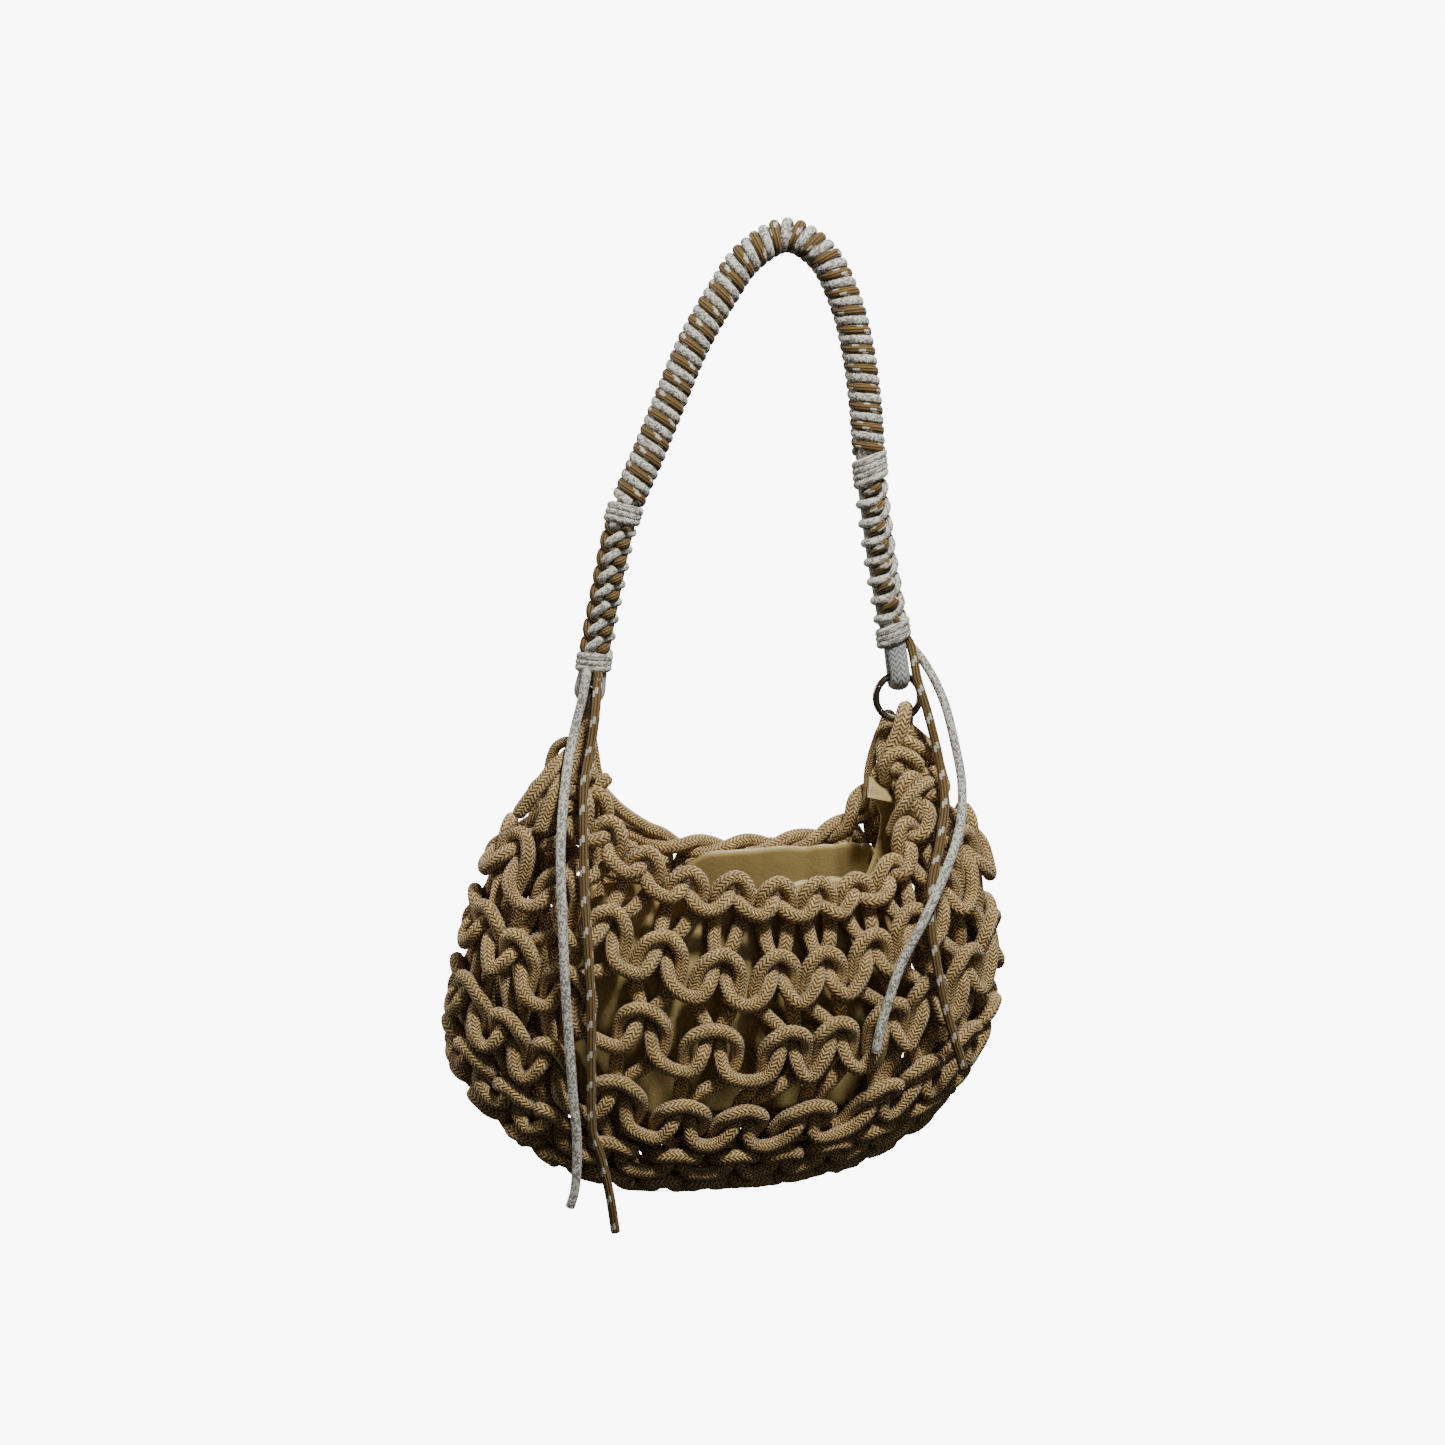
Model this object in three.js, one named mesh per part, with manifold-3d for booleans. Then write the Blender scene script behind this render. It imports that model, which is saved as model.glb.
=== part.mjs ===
// Crochet shoulder bag: a hollow net of thick rope on a short wound rope strap, with a pouch inside.
// Millimetres, +Z up, +X to the right and -Y to the front. The origin is where the bag hangs:
// on the underside of the strap, at its highest point.
import * as THREE from 'three';
import Module from 'manifold-3d';
import { mergeVertices } from 'three/addons/utils/BufferGeometryUtils.js';

const wasm = await Module();
wasm.setup();

// Ropes and cords
const BODY_ROPE = 8; // diameter of the rope that the body is crocheted from
const CORD = 5.2; // diameter of the cords that are wound on the strap and end in loose ends
const CORE_WIDTH = 11; // flattened core rope of the strap, where it loops through the rings
const CORE_THICK = 6.5;
const CLEARANCE = 0.3; // between pieces that touch

// Body, to the middle of its wall
const BAG_LENGTH = 296;
const BAG_DEPTH = 112;
const BAG_HEIGHT = 223.5; // from the rim's ends down to the bottom
const BAG_SHIFT = -33; // the widest row lies this far to the right of where the bag hangs
const STITCHES = 24; // stitches round a row
const SQUARENESS = 2.4; // 2 gives oval rows, more gives squarer ends
const BAND_TALL = 0.68; // height of a band of interlocked loops, as a share of the row pitch
const POST_WIDE = 0.36; // width of a post between two bands, as a share of a stitch
const POST_LEAN = 0.2; // how far a post leans, as a share of a stitch
const EDGE_THIN = 0.6; // thickness of a band's edge, as a share of its middle

// Rim
const RIM_EDGE = 13; // diameter of the two-strand twist round the mouth
const RIM_EDGE_EAR = 10; // and where it runs into an ear
const RIM_SEAT = 0.9; // from the net's faceted upper edge to the twist on it
const EAR_ROOM = 2.2; // more room for the twist's bend where an ear passes under it

// Strap, and what it is joined with
const STRAP = 19; // diameter of the wound strap
const STRAP_DROP = 245.5; // from where it hangs down to the rings' centres
const STRAP_TILT = 2.6; // the left ring hangs this much lower, and the right ring higher
const SPAN_LEFT = 108.6; // from where it hangs sideways to each ring
const SPAN_RIGHT = 63.9;
const COLLAR = 20; // diameter of the collars
const BRAID_WIDE = 18.5;
const BRAID_THICK = 15;
const EAR_REACH = 42; // from the rings' centres down to the rim row's ends
const EAR_WIDE = 8; // flattened rope of the ears
const EAR_THICK = 5;

// Snap rings
const RING = 29; // outer diameter
const RING_WIRE = 3.9;
const GATE_HINGE = 150; // degrees anticlockwise from the ring's right
const GATE_SPAN = 65;
const TONGUE = 1.3; // thickness of the gate's flat tongue
const PIN = 1.2; // diameter of the hinge pin
const EAR_ANGLE = -70; // where an ear hangs in its ring

// Pouch
const POUCH_LENGTH = 196;
const POUCH_DEPTH = 74;
const POUCH_HEIGHT = 140;
const POUCH_WALL = 1.6;
const POUCH_CENTRE = -27;
const TAB_WIDE = 15;
const TAB_REACH = 0.83; // how far the tab reaches from the pouch up to the rim, as a share
const TAB_HEM = 0.3; // and how far it lies down the pouch's end, as a share of its upper section

// Rows of the body, top to bottom. length, depth and shift are shares of the body's length and
// depth; front, back, left and right are how far the row lies below the rim's ends at its four
// sides, as shares of the body's height. peak is how sharply the row rises to its ends.
const ROWS = [
  { length: 0.692, depth: 0.70, shift: 0.025, front: 0.261, back: 0.253, left: 0.012, right: -0.008,
    peakLeft: 2.6, peakFront: 8, peakBack: 3.4 },
  { length: 0.895, depth: 0.89, shift: 0.025, front: 0.446, back: 0.418, left: 0.155, right: 0.159,
    peakLeft: 2.2, peakFront: 2.6, peakBack: 2.6 },
  { length: 0.976, depth: 1.00, shift: 0.019, front: 0.611, back: 0.593, left: 0.320, right: 0.401,
    peakLeft: 2.2, peakFront: 2.2, peakBack: 2.2 },
  { length: 1.000, depth: 0.96, shift: 0.000, front: 0.790, back: 0.777, left: 0.486, right: 0.597,
    peakLeft: 2.4, peakFront: 2.4, peakBack: 2.4 },
  { length: 0.953, depth: 0.80, shift: -0.034, front: 0.902, back: 0.892, left: 0.624, right: 0.745,
    peakLeft: 2.6, peakFront: 2.6, peakBack: 2.6 },
  { length: 0.861, depth: 0.58, shift: -0.056, front: 0.969, back: 0.965, left: 0.717, right: 0.846,
    peakLeft: 2.8, peakFront: 2.8, peakBack: 2.8 },
  { length: 0.642, depth: 0.20, shift: -0.061, front: 0.990, back: 0.990, left: 0.820, right: 0.930,
    peakLeft: 3, peakFront: 3, peakBack: 3 },
];
const LAST_ROW = ROWS.length - 1;
const RIM_TOP = -0.2; // the net's upper edge, in rows above the rim row
const RIM_TOP_EAR = -0.06; // and at the ears, where the rim's edge lifts off it

// Route of the strap on each side, from beside the hanging point down to the ring: across is a
// share of the span to the ring, and down a share of the drop to it.
const STRAP_LEFT = [
  { across: 0.196, down: 0.009 }, { across: 0.336, down: 0.095 }, { across: 0.472, down: 0.198 },
  { across: 0.588, down: 0.317 }, { across: 0.700, down: 0.436 }, { across: 0.821, down: 0.560 },
  { across: 0.910, down: 0.726 }, { across: 0.978, down: 0.889 }, { across: 1, down: 1 },
];
const STRAP_RIGHT = [
  { across: 0.300, down: 0.004 }, { across: 0.502, down: 0.102 }, { across: 0.609, down: 0.201 },
  { across: 0.682, down: 0.323 }, { across: 0.732, down: 0.476 }, { across: 0.826, down: 0.662 },
  { across: 0.950, down: 0.849 }, { across: 1, down: 1 },
];

// Lengths along each end of the strap, counted up from the ring's centre.
const STRAP_ENDS = {
  left: { loop: 20.6, lowerCollar: 14, braid: 68, upperCollar: 14.6 },
  right: { loop: 29.3, lowerCollar: 14.9, braid: 75, upperCollar: 19 },
};

// Sections of the pouch, top to bottom: drop is a share of its height below its top edge, length
// and depth are shares of its own.
const POUCH_ROWS = [
  { drop: 0, length: 0.74, depth: 0.74 },
  { drop: 0.3, length: 0.95, depth: 1 },
  { drop: 0.62, length: 1, depth: 1 },
  { drop: 0.9, length: 0.85, depth: 0.8 },
  { drop: 1, length: 0.68, depth: 0.42 },
];
const POUCH_BELOW_EARS = 56.5; // its top edge lies this far below the rim's ends

// Routes of the four loose cord ends, from the lower collars down the front of the body.
const LOOSE_ENDS = {
  cord_end_white_left: [
    [-111.5, -8.9, -229], [-114, -10, -241], [-118.6, -12.5, -257.8], [-124, -25, -281],
    [-127.5, -39, -306], [-128.6, -46, -323], [-128.4, -54, -353], [-127.3, -60, -394],
    [-125.4, -61.5, -426.8], [-124, -61.5, -449], [-122.5, -61.5, -467], [-122.5, -61, -485],
    [-124, -60.5, -500], [-126.3, -60, -508],
  ],
  cord_end_brown_left: [
    [-104.9, -8.9, -228.6], [-106, -14.5, -238], [-107.4, -19.5, -248.5], [-110, -22.5, -264],
    [-114.3, -30, -283], [-115.8, -40, -308], [-116.2, -47, -333], [-115.4, -57, -363],
    [-114.4, -62.5, -394], [-114.6, -64, -426.5], [-114.8, -64, -450], [-114, -63.5, -466.5],
    [-110.2, -63, -479], [-105.2, -62, -501], [-102, -60.5, -523],
  ],
  cord_end_white_right: [
    [71, 2.6, -214.2], [76.5, 1, -220.5], [82, -4, -230], [88, -10, -245], [92.6, -17, -267],
    [95, -25, -289], [91, -37, -311], [78, -52, -337], [65.5, -60.5, -358], [54, -62.5, -379],
    [46, -65, -400], [41, -67, -416], [38.8, -67.5, -427],
  ],
  cord_end_brown_right: [
    [70.4, -3.4, -214.1], [71.4, -6.5, -221.5], [72.4, -10, -231], [77.6, -14.5, -250],
    [83.4, -20, -277], [84.5, -29, -297.5], [80, -38.5, -317.5], [74, -46.5, -338], [72, -53, -359],
    [74, -57.5, -380], [78, -60, -402.5], [84.6, -60.5, -425], [89.4, -59.5, -440],
  ],
};
const CORD_SIDES = 8;
const CORD_STEPS = 22;
const RIM_STEPS = 52;
const EAR_STEPS = 26;
const HALF_STEPS = 180; // points worked out along half a row

const radians = THREE.MathUtils.degToRad;
const vector = (x, y, z) => new THREE.Vector3(x, y, z);
const turnedX = (degrees) => vector(Math.cos(radians(degrees)), Math.sin(radians(degrees)), 0);

// Levels and places worked out from the sizes
const EARS_Z = -(STRAP_DROP + EAR_REACH);
const RING_RADIUS = (RING - RING_WIRE) / 2;
const BAND_HALF = BAND_TALL / 2;
const RING_CENTRES = {
  left: vector(-SPAN_LEFT, 0, -STRAP_DROP - STRAP_TILT),
  right: vector(SPAN_RIGHT, 0, -STRAP_DROP + STRAP_TILT),
};

// Twice the signed volume over three: positive when the faces point out.
function pointsOut(positions, index) {
  const [a, b, c] = [vector(), vector(), vector()];
  let volume = 0;
  for (let i = 0; i < index.length; i += 3) {
    a.fromArray(positions, index[i] * 3);
    b.fromArray(positions, index[i + 1] * 3);
    c.fromArray(positions, index[i + 2] * 3);
    volume += a.dot(b.cross(c));
  }
  return volume > 0;
}

// A closed mesh from shared corners and faces of three or four corners.
function closedMesh(corners, faces) {
  const index = [];
  for (const face of faces) {
    for (let i = 2; i < face.length; i++) index.push(face[0], face[i - 1], face[i]);
  }
  const positions = corners.flatMap((corner) => corner.toArray());
  if (!pointsOut(positions, index)) index.reverse();
  const geometry = new THREE.BufferGeometry();
  geometry.setAttribute('position', new THREE.Float32BufferAttribute(positions, 3));
  geometry.setIndex(index);
  return geometry;
}

// A body swept through stations. Each has a centre and the two half axes of its oval section.
function sweep(stations, sides, closed = false) {
  const corners = [];
  for (const { centre, across, out } of stations) {
    for (let j = 0; j < sides; j++) {
      const angle = (2 * Math.PI * j) / sides;
      corners.push(centre.clone()
        .addScaledVector(across, Math.cos(angle))
        .addScaledVector(out, Math.sin(angle)));
    }
  }
  const faces = [];
  const rings = stations.length;
  const at = (i, j) => (i % rings) * sides + (j % sides);
  for (let i = 0; i < (closed ? rings : rings - 1); i++) {
    for (let j = 0; j < sides; j++) faces.push([at(i, j), at(i, j + 1), at(i + 1, j + 1), at(i + 1, j)]);
  }
  if (!closed) {
    const round = [...Array(sides).keys()];
    faces.push(round.map((j) => at(0, j)).reverse(), round.map((j) => at(rings - 1, j)));
  }
  return closedMesh(corners, faces);
}

// A station of a path: its section stands square to the path, with one axis along side.
function station(centre, tangent, side, halfSide, halfOther) {
  const other = vector().crossVectors(tangent, side).normalize();
  const along = vector().crossVectors(other, tangent).normalize();
  return { centre, across: along.multiplyScalar(halfSide), out: other.multiplyScalar(halfOther) };
}

// A row of the body as a closed curve. Turn 0 is the right end and a half turn the left end, and
// the back half and the front half are each measured by their length.
function rowCurve(row) {
  const steps = 2 * HALF_STEPS;
  const points = [];
  for (let i = 0; i <= steps; i++) {
    const angle = (2 * Math.PI * i) / steps;
    const x = Math.sign(Math.cos(angle)) * Math.abs(Math.cos(angle)) ** (2 / SQUARENESS);
    const y = Math.sign(Math.sin(angle)) * Math.abs(Math.sin(angle)) ** (2 / SQUARENESS);
    const toBack = (1 + y) / 2;
    const peakRight = row.peakFront + (row.peakBack - row.peakFront) * toBack;
    const rise = Math.abs(x) ** (x > 0 ? peakRight : row.peakLeft);
    const middle = row.front + (row.back - row.front) * toBack;
    const drop = middle + ((x > 0 ? row.right : row.left) - middle) * rise;
    points.push(vector(
      BAG_SHIFT + (row.shift + (x * row.length) / 2) * BAG_LENGTH,
      (y * row.depth * BAG_DEPTH) / 2,
      EARS_Z - drop * BAG_HEIGHT,
    ));
  }
  return [points.slice(0, HALF_STEPS + 1), points.slice(HALF_STEPS)].map(measured);
}

function measured(points) {
  const along = [0];
  for (let i = 1; i < points.length; i++) along.push(along[i - 1] + points[i].distanceTo(points[i - 1]));
  return { points, along };
}

const ROW_CURVES = ROWS.map(rowCurve);

function rowPoint(index, turn) {
  const halfTurns = 2 * (turn - Math.floor(turn));
  const { points, along } = ROW_CURVES[index][Math.floor(halfTurns) % 2];
  const wanted = (halfTurns % 1) * along[along.length - 1];
  let i = 1;
  while (i < along.length - 1 && along[i] < wanted) i += 1;
  const share = (wanted - along[i - 1]) / (along[i] - along[i - 1]);
  return points[i - 1].clone().lerp(points[i], share);
}

// The middle of the body's wall. turn goes round a row, and row counts the rows from the rim.
function wallPoint(turn, row) {
  const from = Math.min(Math.max(Math.floor(row), 0), LAST_ROW - 1);
  const beyond = (index) => {
    if (index < 0) return rowPoint(0, turn).multiplyScalar(2).sub(rowPoint(1, turn));
    if (index > LAST_ROW) return rowPoint(LAST_ROW, turn).multiplyScalar(2).sub(rowPoint(LAST_ROW - 1, turn));
    return rowPoint(index, turn);
  };
  const curve = new THREE.CatmullRomCurve3(
    [from - 1, from, from + 1, from + 2].map(beyond), false, 'catmullrom', 0.5);
  return curve.getPoint((1 + row - from) / 3);
}

function wallNormal(turn, row) {
  const round = wallPoint(turn + 2e-3, row).sub(wallPoint(turn - 2e-3, row));
  const down = wallPoint(turn, row + 0.03).sub(wallPoint(turn, row - 0.03));
  return vector().crossVectors(down, round).normalize();
}

// 1 at the two ends of the rim, and almost 0 along its front and back.
function towardsEar(turn) {
  return Math.abs(Math.cos(2 * Math.PI * turn)) ** 12;
}

function rimTop(turn) {
  return RIM_TOP + (RIM_TOP_EAR - RIM_TOP) * towardsEar(turn);
}

// The body: bands of interlocked loops joined by leaning posts, cut through between them, and
// closed along the bottom.
function netShell() {
  const lines = [{ rim: true, half: EDGE_THIN, lean: 0 }];
  for (let band = 0; band < LAST_ROW; band++) {
    if (band > 0) lines.push({ row: band - BAND_HALF, half: EDGE_THIN, lean: -0.5, gapAbove: true });
    lines.push({ row: band, half: 1, lean: 0 });
    lines.push({ row: band + BAND_HALF, half: EDGE_THIN, lean: 0.5 });
  }
  lines.push({ row: LAST_ROW, half: EDGE_THIN, lean: 0 });

  const columns = 2 * STITCHES;
  const corners = [];
  const faces = [];
  const at = (side, line, column) => (side * lines.length + line) * columns + ((column + columns) % columns);
  for (const side of [1, -1]) {
    for (const line of lines) {
      for (let column = 0; column < columns; column++) {
        const edge = (column % 2 ? 0.5 : -0.5) * POST_WIDE;
        const turn = (Math.floor(column / 2) + edge + line.lean * POST_LEAN) / STITCHES;
        const row = line.rim ? rimTop(turn) : line.row;
        corners.push(wallPoint(turn, row)
          .addScaledVector(wallNormal(turn, row), side * line.half * BODY_ROPE));
      }
    }
  }
  const open = (line, column) => lines[line + 1]?.gapAbove === true && (column + columns) % 2 === 1;
  for (let line = 0; line < lines.length - 1; line++) {
    for (let column = 0; column < columns; column++) {
      if (open(line, column)) {
        // The four walls of a gap
        faces.push([at(0, line, column + 1), at(0, line, column), at(1, line, column), at(1, line, column + 1)]);
        faces.push([at(0, line + 1, column), at(0, line + 1, column + 1),
          at(1, line + 1, column + 1), at(1, line + 1, column)]);
        faces.push([at(0, line, column), at(0, line + 1, column), at(1, line + 1, column), at(1, line, column)]);
        faces.push([at(0, line + 1, column + 1), at(0, line, column + 1),
          at(1, line, column + 1), at(1, line + 1, column + 1)]);
        continue;
      }
      faces.push([at(0, line, column), at(0, line + 1, column), at(0, line + 1, column + 1), at(0, line, column + 1)]);
      faces.push([at(1, line, column), at(1, line, column + 1), at(1, line + 1, column + 1), at(1, line + 1, column)]);
    }
  }
  // The upper edge
  for (let column = 0; column < columns; column++) {
    faces.push([at(0, 0, column), at(0, 0, column + 1), at(1, 0, column + 1), at(1, 0, column)]);
  }
  // The bottom joins each column to its mirror image across the row
  const bottom = lines.length - 1;
  const mirror = (column) => columns + 1 - column;
  for (let column = 1; column < STITCHES; column++) {
    faces.push([at(0, bottom, column), at(0, bottom, mirror(column)),
      at(0, bottom, mirror(column + 1)), at(0, bottom, column + 1)]);
    faces.push([at(1, bottom, column), at(1, bottom, column + 1),
      at(1, bottom, mirror(column + 1)), at(1, bottom, mirror(column))]);
  }
  return closedMesh(corners, faces);
}

// The twist round the mouth stands on the net's upper edge, and thins and lifts off at the ears.
function rimEdgeRadius(turn) {
  return (RIM_EDGE + (RIM_EDGE_EAR - RIM_EDGE) * towardsEar(turn)) / 2;
}

function rimEdgePoint(turn) {
  const row = rimTop(turn);
  const along = wallPoint(turn + 2e-3, row).sub(wallPoint(turn - 2e-3, row));
  const up = vector().crossVectors(wallNormal(turn, row), along).normalize();
  const lift = (EAR_THICK + CLEARANCE + EAR_ROOM) * towardsEar(turn);
  return wallPoint(turn, row).addScaledVector(up, rimEdgeRadius(turn) + RIM_SEAT + lift);
}

function rimEdge() {
  const stations = [];
  for (let i = 0; i < RIM_STEPS; i++) {
    const turn = i / RIM_STEPS;
    const tangent = rimEdgePoint(turn + 1e-3).sub(rimEdgePoint(turn - 1e-3)).normalize();
    const radius = rimEdgeRadius(turn);
    stations.push(station(rimEdgePoint(turn), tangent, wallNormal(turn, rimTop(turn)), radius, radius));
  }
  return sweep(stations, 8, true);
}

// An ear is a flattened loop of rope that links a ring with the rim's end. Its plane turns by
// twist degrees from the rim up to the ring.
function ear(ringCentre, turn, twist) {
  const angle = radians(twist ? EAR_ANGLE : -90);
  const inward = vector(-Math.cos(angle), 0, -Math.sin(angle));
  const hook = { centre: ringCentre.clone().addScaledVector(inward, -RING_RADIUS), up: inward,
    radius: (RING_WIRE + EAR_THICK) / 2 + 2 * CLEARANCE, lateral: turnedX(twist) };
  const seat = { centre: rimEdgePoint(turn), up: vector(0, 0, 1),
    radius: rimEdgeRadius(turn) + EAR_THICK / 2 + EAR_ROOM, lateral: turnedX(0) };
  const points = [];
  const half = (end, sign) => {
    for (let i = 0; i <= 6; i++) {
      const around = (Math.PI * i) / 6;
      points.push({
        at: end.centre.clone()
          .addScaledVector(end.up, sign * end.radius * Math.sin(around))
          .addScaledVector(end.lateral, -sign * end.radius * Math.cos(around)),
        side: vector().crossVectors(end.lateral, end.up),
      });
    }
  };
  half(hook, 1);
  half(seat, -1);
  // Stations along the two sides, between the hook and the seat
  const ring = new THREE.CatmullRomCurve3(points.map(({ at }) => at), true, 'centripetal');
  const stations = [];
  for (let i = 0; i < EAR_STEPS; i++) {
    const t = i / EAR_STEPS;
    const place = t * points.length;
    const [before, after] = [points[Math.floor(place)], points[Math.ceil(place) % points.length]];
    const side = before.side.clone().lerp(after.side, place - Math.floor(place)).normalize();
    stations.push(station(ring.getPoint(t), ring.getTangent(t), side, EAR_WIDE / 2, EAR_THICK / 2));
  }
  return sweep(stations, 8, true);
}

// The strap's middle line, from the left ring over the hanging point to the right ring.
function strapLine() {
  const place = (span, drop) => ({ across, down }) => vector(across * span, 0, -down * drop);
  const left = STRAP_LEFT.map(place(-SPAN_LEFT, STRAP_DROP + STRAP_TILT)).reverse();
  const right = STRAP_RIGHT.map(place(SPAN_RIGHT, STRAP_DROP - STRAP_TILT));
  return new THREE.CatmullRomCurve3([...left, vector(0, 0, STRAP / 2), ...right], false, 'centripetal');
}

const STRAP_LINE = strapLine();
const STRAP_LENGTH = STRAP_LINE.getLength();
const FRONT = vector(0, -1, 0);

// A length of the strap between two distances from its left end, oval where wide and thick differ.
function strapPiece(from, to, wide, thick, steps, sides) {
  const stations = [];
  for (let i = 0; i <= steps; i++) {
    const t = (from + ((to - from) * i) / steps) / STRAP_LENGTH;
    stations.push(station(STRAP_LINE.getPointAt(t), STRAP_LINE.getTangentAt(t), FRONT, thick / 2, wide / 2));
  }
  return sweep(stations, sides);
}

// Where each stretch of the strap starts and ends, from the ring's centre upwards.
function strapMarks(side) {
  const { loop, lowerCollar, braid, upperCollar } = STRAP_ENDS[side];
  const marks = [loop, loop + lowerCollar, loop + lowerCollar + braid, loop + lowerCollar + braid + upperCollar];
  return side === 'left' ? marks : marks.map((mark) => STRAP_LENGTH - mark);
}

function stretch(marks, index, wide, thick, steps, sides) {
  const [from, to] = [marks[index], marks[index + 1]].sort((a, b) => a - b);
  return strapPiece(from + CLEARANCE / 2, to - CLEARANCE / 2, wide, thick, steps, sides);
}

// The core rope's loop, from a lower collar down round the top of a ring's wire.
function coreLoop(side, lateral) {
  const mark = strapMarks(side)[0];
  const t = mark / STRAP_LENGTH;
  const top = STRAP_LINE.getPointAt(t);
  const down = STRAP_LINE.getTangentAt(t).multiplyScalar(side === 'left' ? -1 : 1);
  top.addScaledVector(down, CLEARANCE);
  const wire = RING_CENTRES[side].clone().add(vector(0, 0, RING_RADIUS));
  const half = RING_WIRE / 2 + CLEARANCE + CORE_THICK / 2;
  const flat = vector().crossVectors(lateral, vector(0, 0, 1));
  // The cut ends lie in the collar's underside
  const start = top.clone().addScaledVector(lateral, -half);
  const end = top.clone().addScaledVector(lateral, half);
  const slope = down.dot(lateral) / down.z;
  start.z += half * slope;
  end.z -= half * slope;
  const stations = [];
  const add = (centre, tangent) => stations.push(station(centre, tangent, flat, CORE_WIDTH / 2, CORE_THICK / 2));
  add(start, down);
  for (let i = 0; i <= 12; i++) {
    const angle = (Math.PI * i) / 12;
    add(
      wire.clone().addScaledVector(lateral, -half * Math.cos(angle)).add(vector(0, 0, -half * Math.sin(angle))),
      lateral.clone().multiplyScalar(Math.sin(angle)).add(vector(0, 0, -Math.cos(angle))),
    );
  }
  add(end, down.clone().negate());
  return sweep(stations, 10);
}

// Joining and cutting of closed meshes
function solid(geometry) {
  const bare = geometry.clone();
  bare.deleteAttribute('normal');
  bare.deleteAttribute('uv');
  const merged = mergeVertices(bare, 1e-5);
  return new wasm.Manifold(new wasm.Mesh({
    numProp: 3,
    vertProperties: new Float32Array(merged.attributes.position.array),
    triVerts: new Uint32Array(merged.index.array),
  }));
}

function meshOf(manifold) {
  const mesh = manifold.getMesh();
  const geometry = new THREE.BufferGeometry();
  geometry.setAttribute('position', new THREE.BufferAttribute(new Float32Array(mesh.vertProperties), 3));
  geometry.setIndex(new THREE.BufferAttribute(new Uint32Array(mesh.triVerts), 1));
  return geometry;
}

// A ring's own frame has its centre at the origin, its plane in X and Z and its gate on the left.
function onRing(degrees) {
  return vector(RING_RADIUS * Math.cos(radians(degrees)), 0, RING_RADIUS * Math.sin(radians(degrees)));
}

const HINGE_POINT = onRing(GATE_HINGE);
const LATCH_POINT = onRing(GATE_HINGE + GATE_SPAN);
// The gate and the ring meet at a face square to the line from hinge to latch, so that it opens.
const LATCH_NORMAL = LATCH_POINT.clone().sub(HINGE_POINT).normalize();

function wire(fromDegrees, toDegrees, steps) {
  const stations = [];
  for (let i = 0; i <= steps; i++) {
    const degrees = fromDegrees + ((toDegrees - fromDegrees) * i) / steps;
    const tangent = vector(-Math.sin(radians(degrees)), 0, Math.cos(radians(degrees)));
    stations.push(station(onRing(degrees), tangent, FRONT, RING_WIRE / 2, RING_WIRE / 2));
  }
  return solid(sweep(stations, 8));
}

// A round disc about the hinge, between two levels through the ring's thickness.
function hingeDisc(radius, from, to) {
  const disc = new THREE.CylinderGeometry(radius, radius, to - from, 16);
  disc.translate(HINGE_POINT.x, (from + to) / 2, HINGE_POINT.z);
  return solid(disc);
}

// A block over the wire at the latch, between two distances from the latch point.
function latchBlock(from, to) {
  const block = new THREE.BoxGeometry(to - from, 3 * RING_WIRE, 3 * RING_WIRE);
  block.translate((from + to) / 2, 0, 0);
  block.rotateY(-Math.atan2(LATCH_NORMAL.z, LATCH_NORMAL.x));
  block.translate(LATCH_POINT.x, LATCH_POINT.y, LATCH_POINT.z);
  return solid(block);
}

const SLOT = TONGUE + 2 * CLEARANCE;
const SLOT_RADIUS = RING_WIRE / 2 + CLEARANCE;
const LATCH_SPARE = 10; // degrees of wire that the latch face cuts off

function snapRing() {
  const wireStart = GATE_HINGE + GATE_SPAN - LATCH_SPARE;
  const hub = hingeDisc(RING_WIRE / 2, -RING_WIRE / 2, RING_WIRE / 2);
  return meshOf(wire(wireStart, GATE_HINGE + 360, 22).add(hub)
    .subtract(latchBlock(-2 * RING_WIRE, CLEARANCE / 2))
    .subtract(hingeDisc(SLOT_RADIUS, -SLOT / 2, SLOT / 2))
    .add(hingeDisc(PIN / 2, -RING_WIRE / 2, RING_WIRE / 2)));
}

function snapGate() {
  const hub = hingeDisc(RING_WIRE / 2 - CLEARANCE, -RING_WIRE / 2, RING_WIRE / 2);
  const cheekRoom = SLOT_RADIUS + CLEARANCE;
  return meshOf(wire(GATE_HINGE, GATE_HINGE + GATE_SPAN + LATCH_SPARE, 8).add(hub)
    .subtract(latchBlock(-CLEARANCE / 2, 2 * RING_WIRE))
    .subtract(hingeDisc(cheekRoom, TONGUE / 2, RING_WIRE))
    .subtract(hingeDisc(cheekRoom, -RING_WIRE, -TONGUE / 2))
    .subtract(hingeDisc(PIN / 2 + CLEARANCE, -RING_WIRE, RING_WIRE)));
}

// The pouch: an open bag of thin sheet inside the net.
function pouchCorner(turn, row, inset) {
  const angle = 2 * Math.PI * turn;
  const flat = 2 / 3.2;
  const x = Math.sign(Math.cos(angle)) * Math.abs(Math.cos(angle)) ** flat;
  const y = Math.sign(Math.sin(angle)) * Math.abs(Math.sin(angle)) ** flat;
  return vector(
    POUCH_CENTRE + x * ((row.length * POUCH_LENGTH) / 2 - inset),
    y * ((row.depth * POUCH_DEPTH) / 2 - inset),
    EARS_Z - POUCH_BELOW_EARS - row.drop * POUCH_HEIGHT,
  );
}

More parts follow.
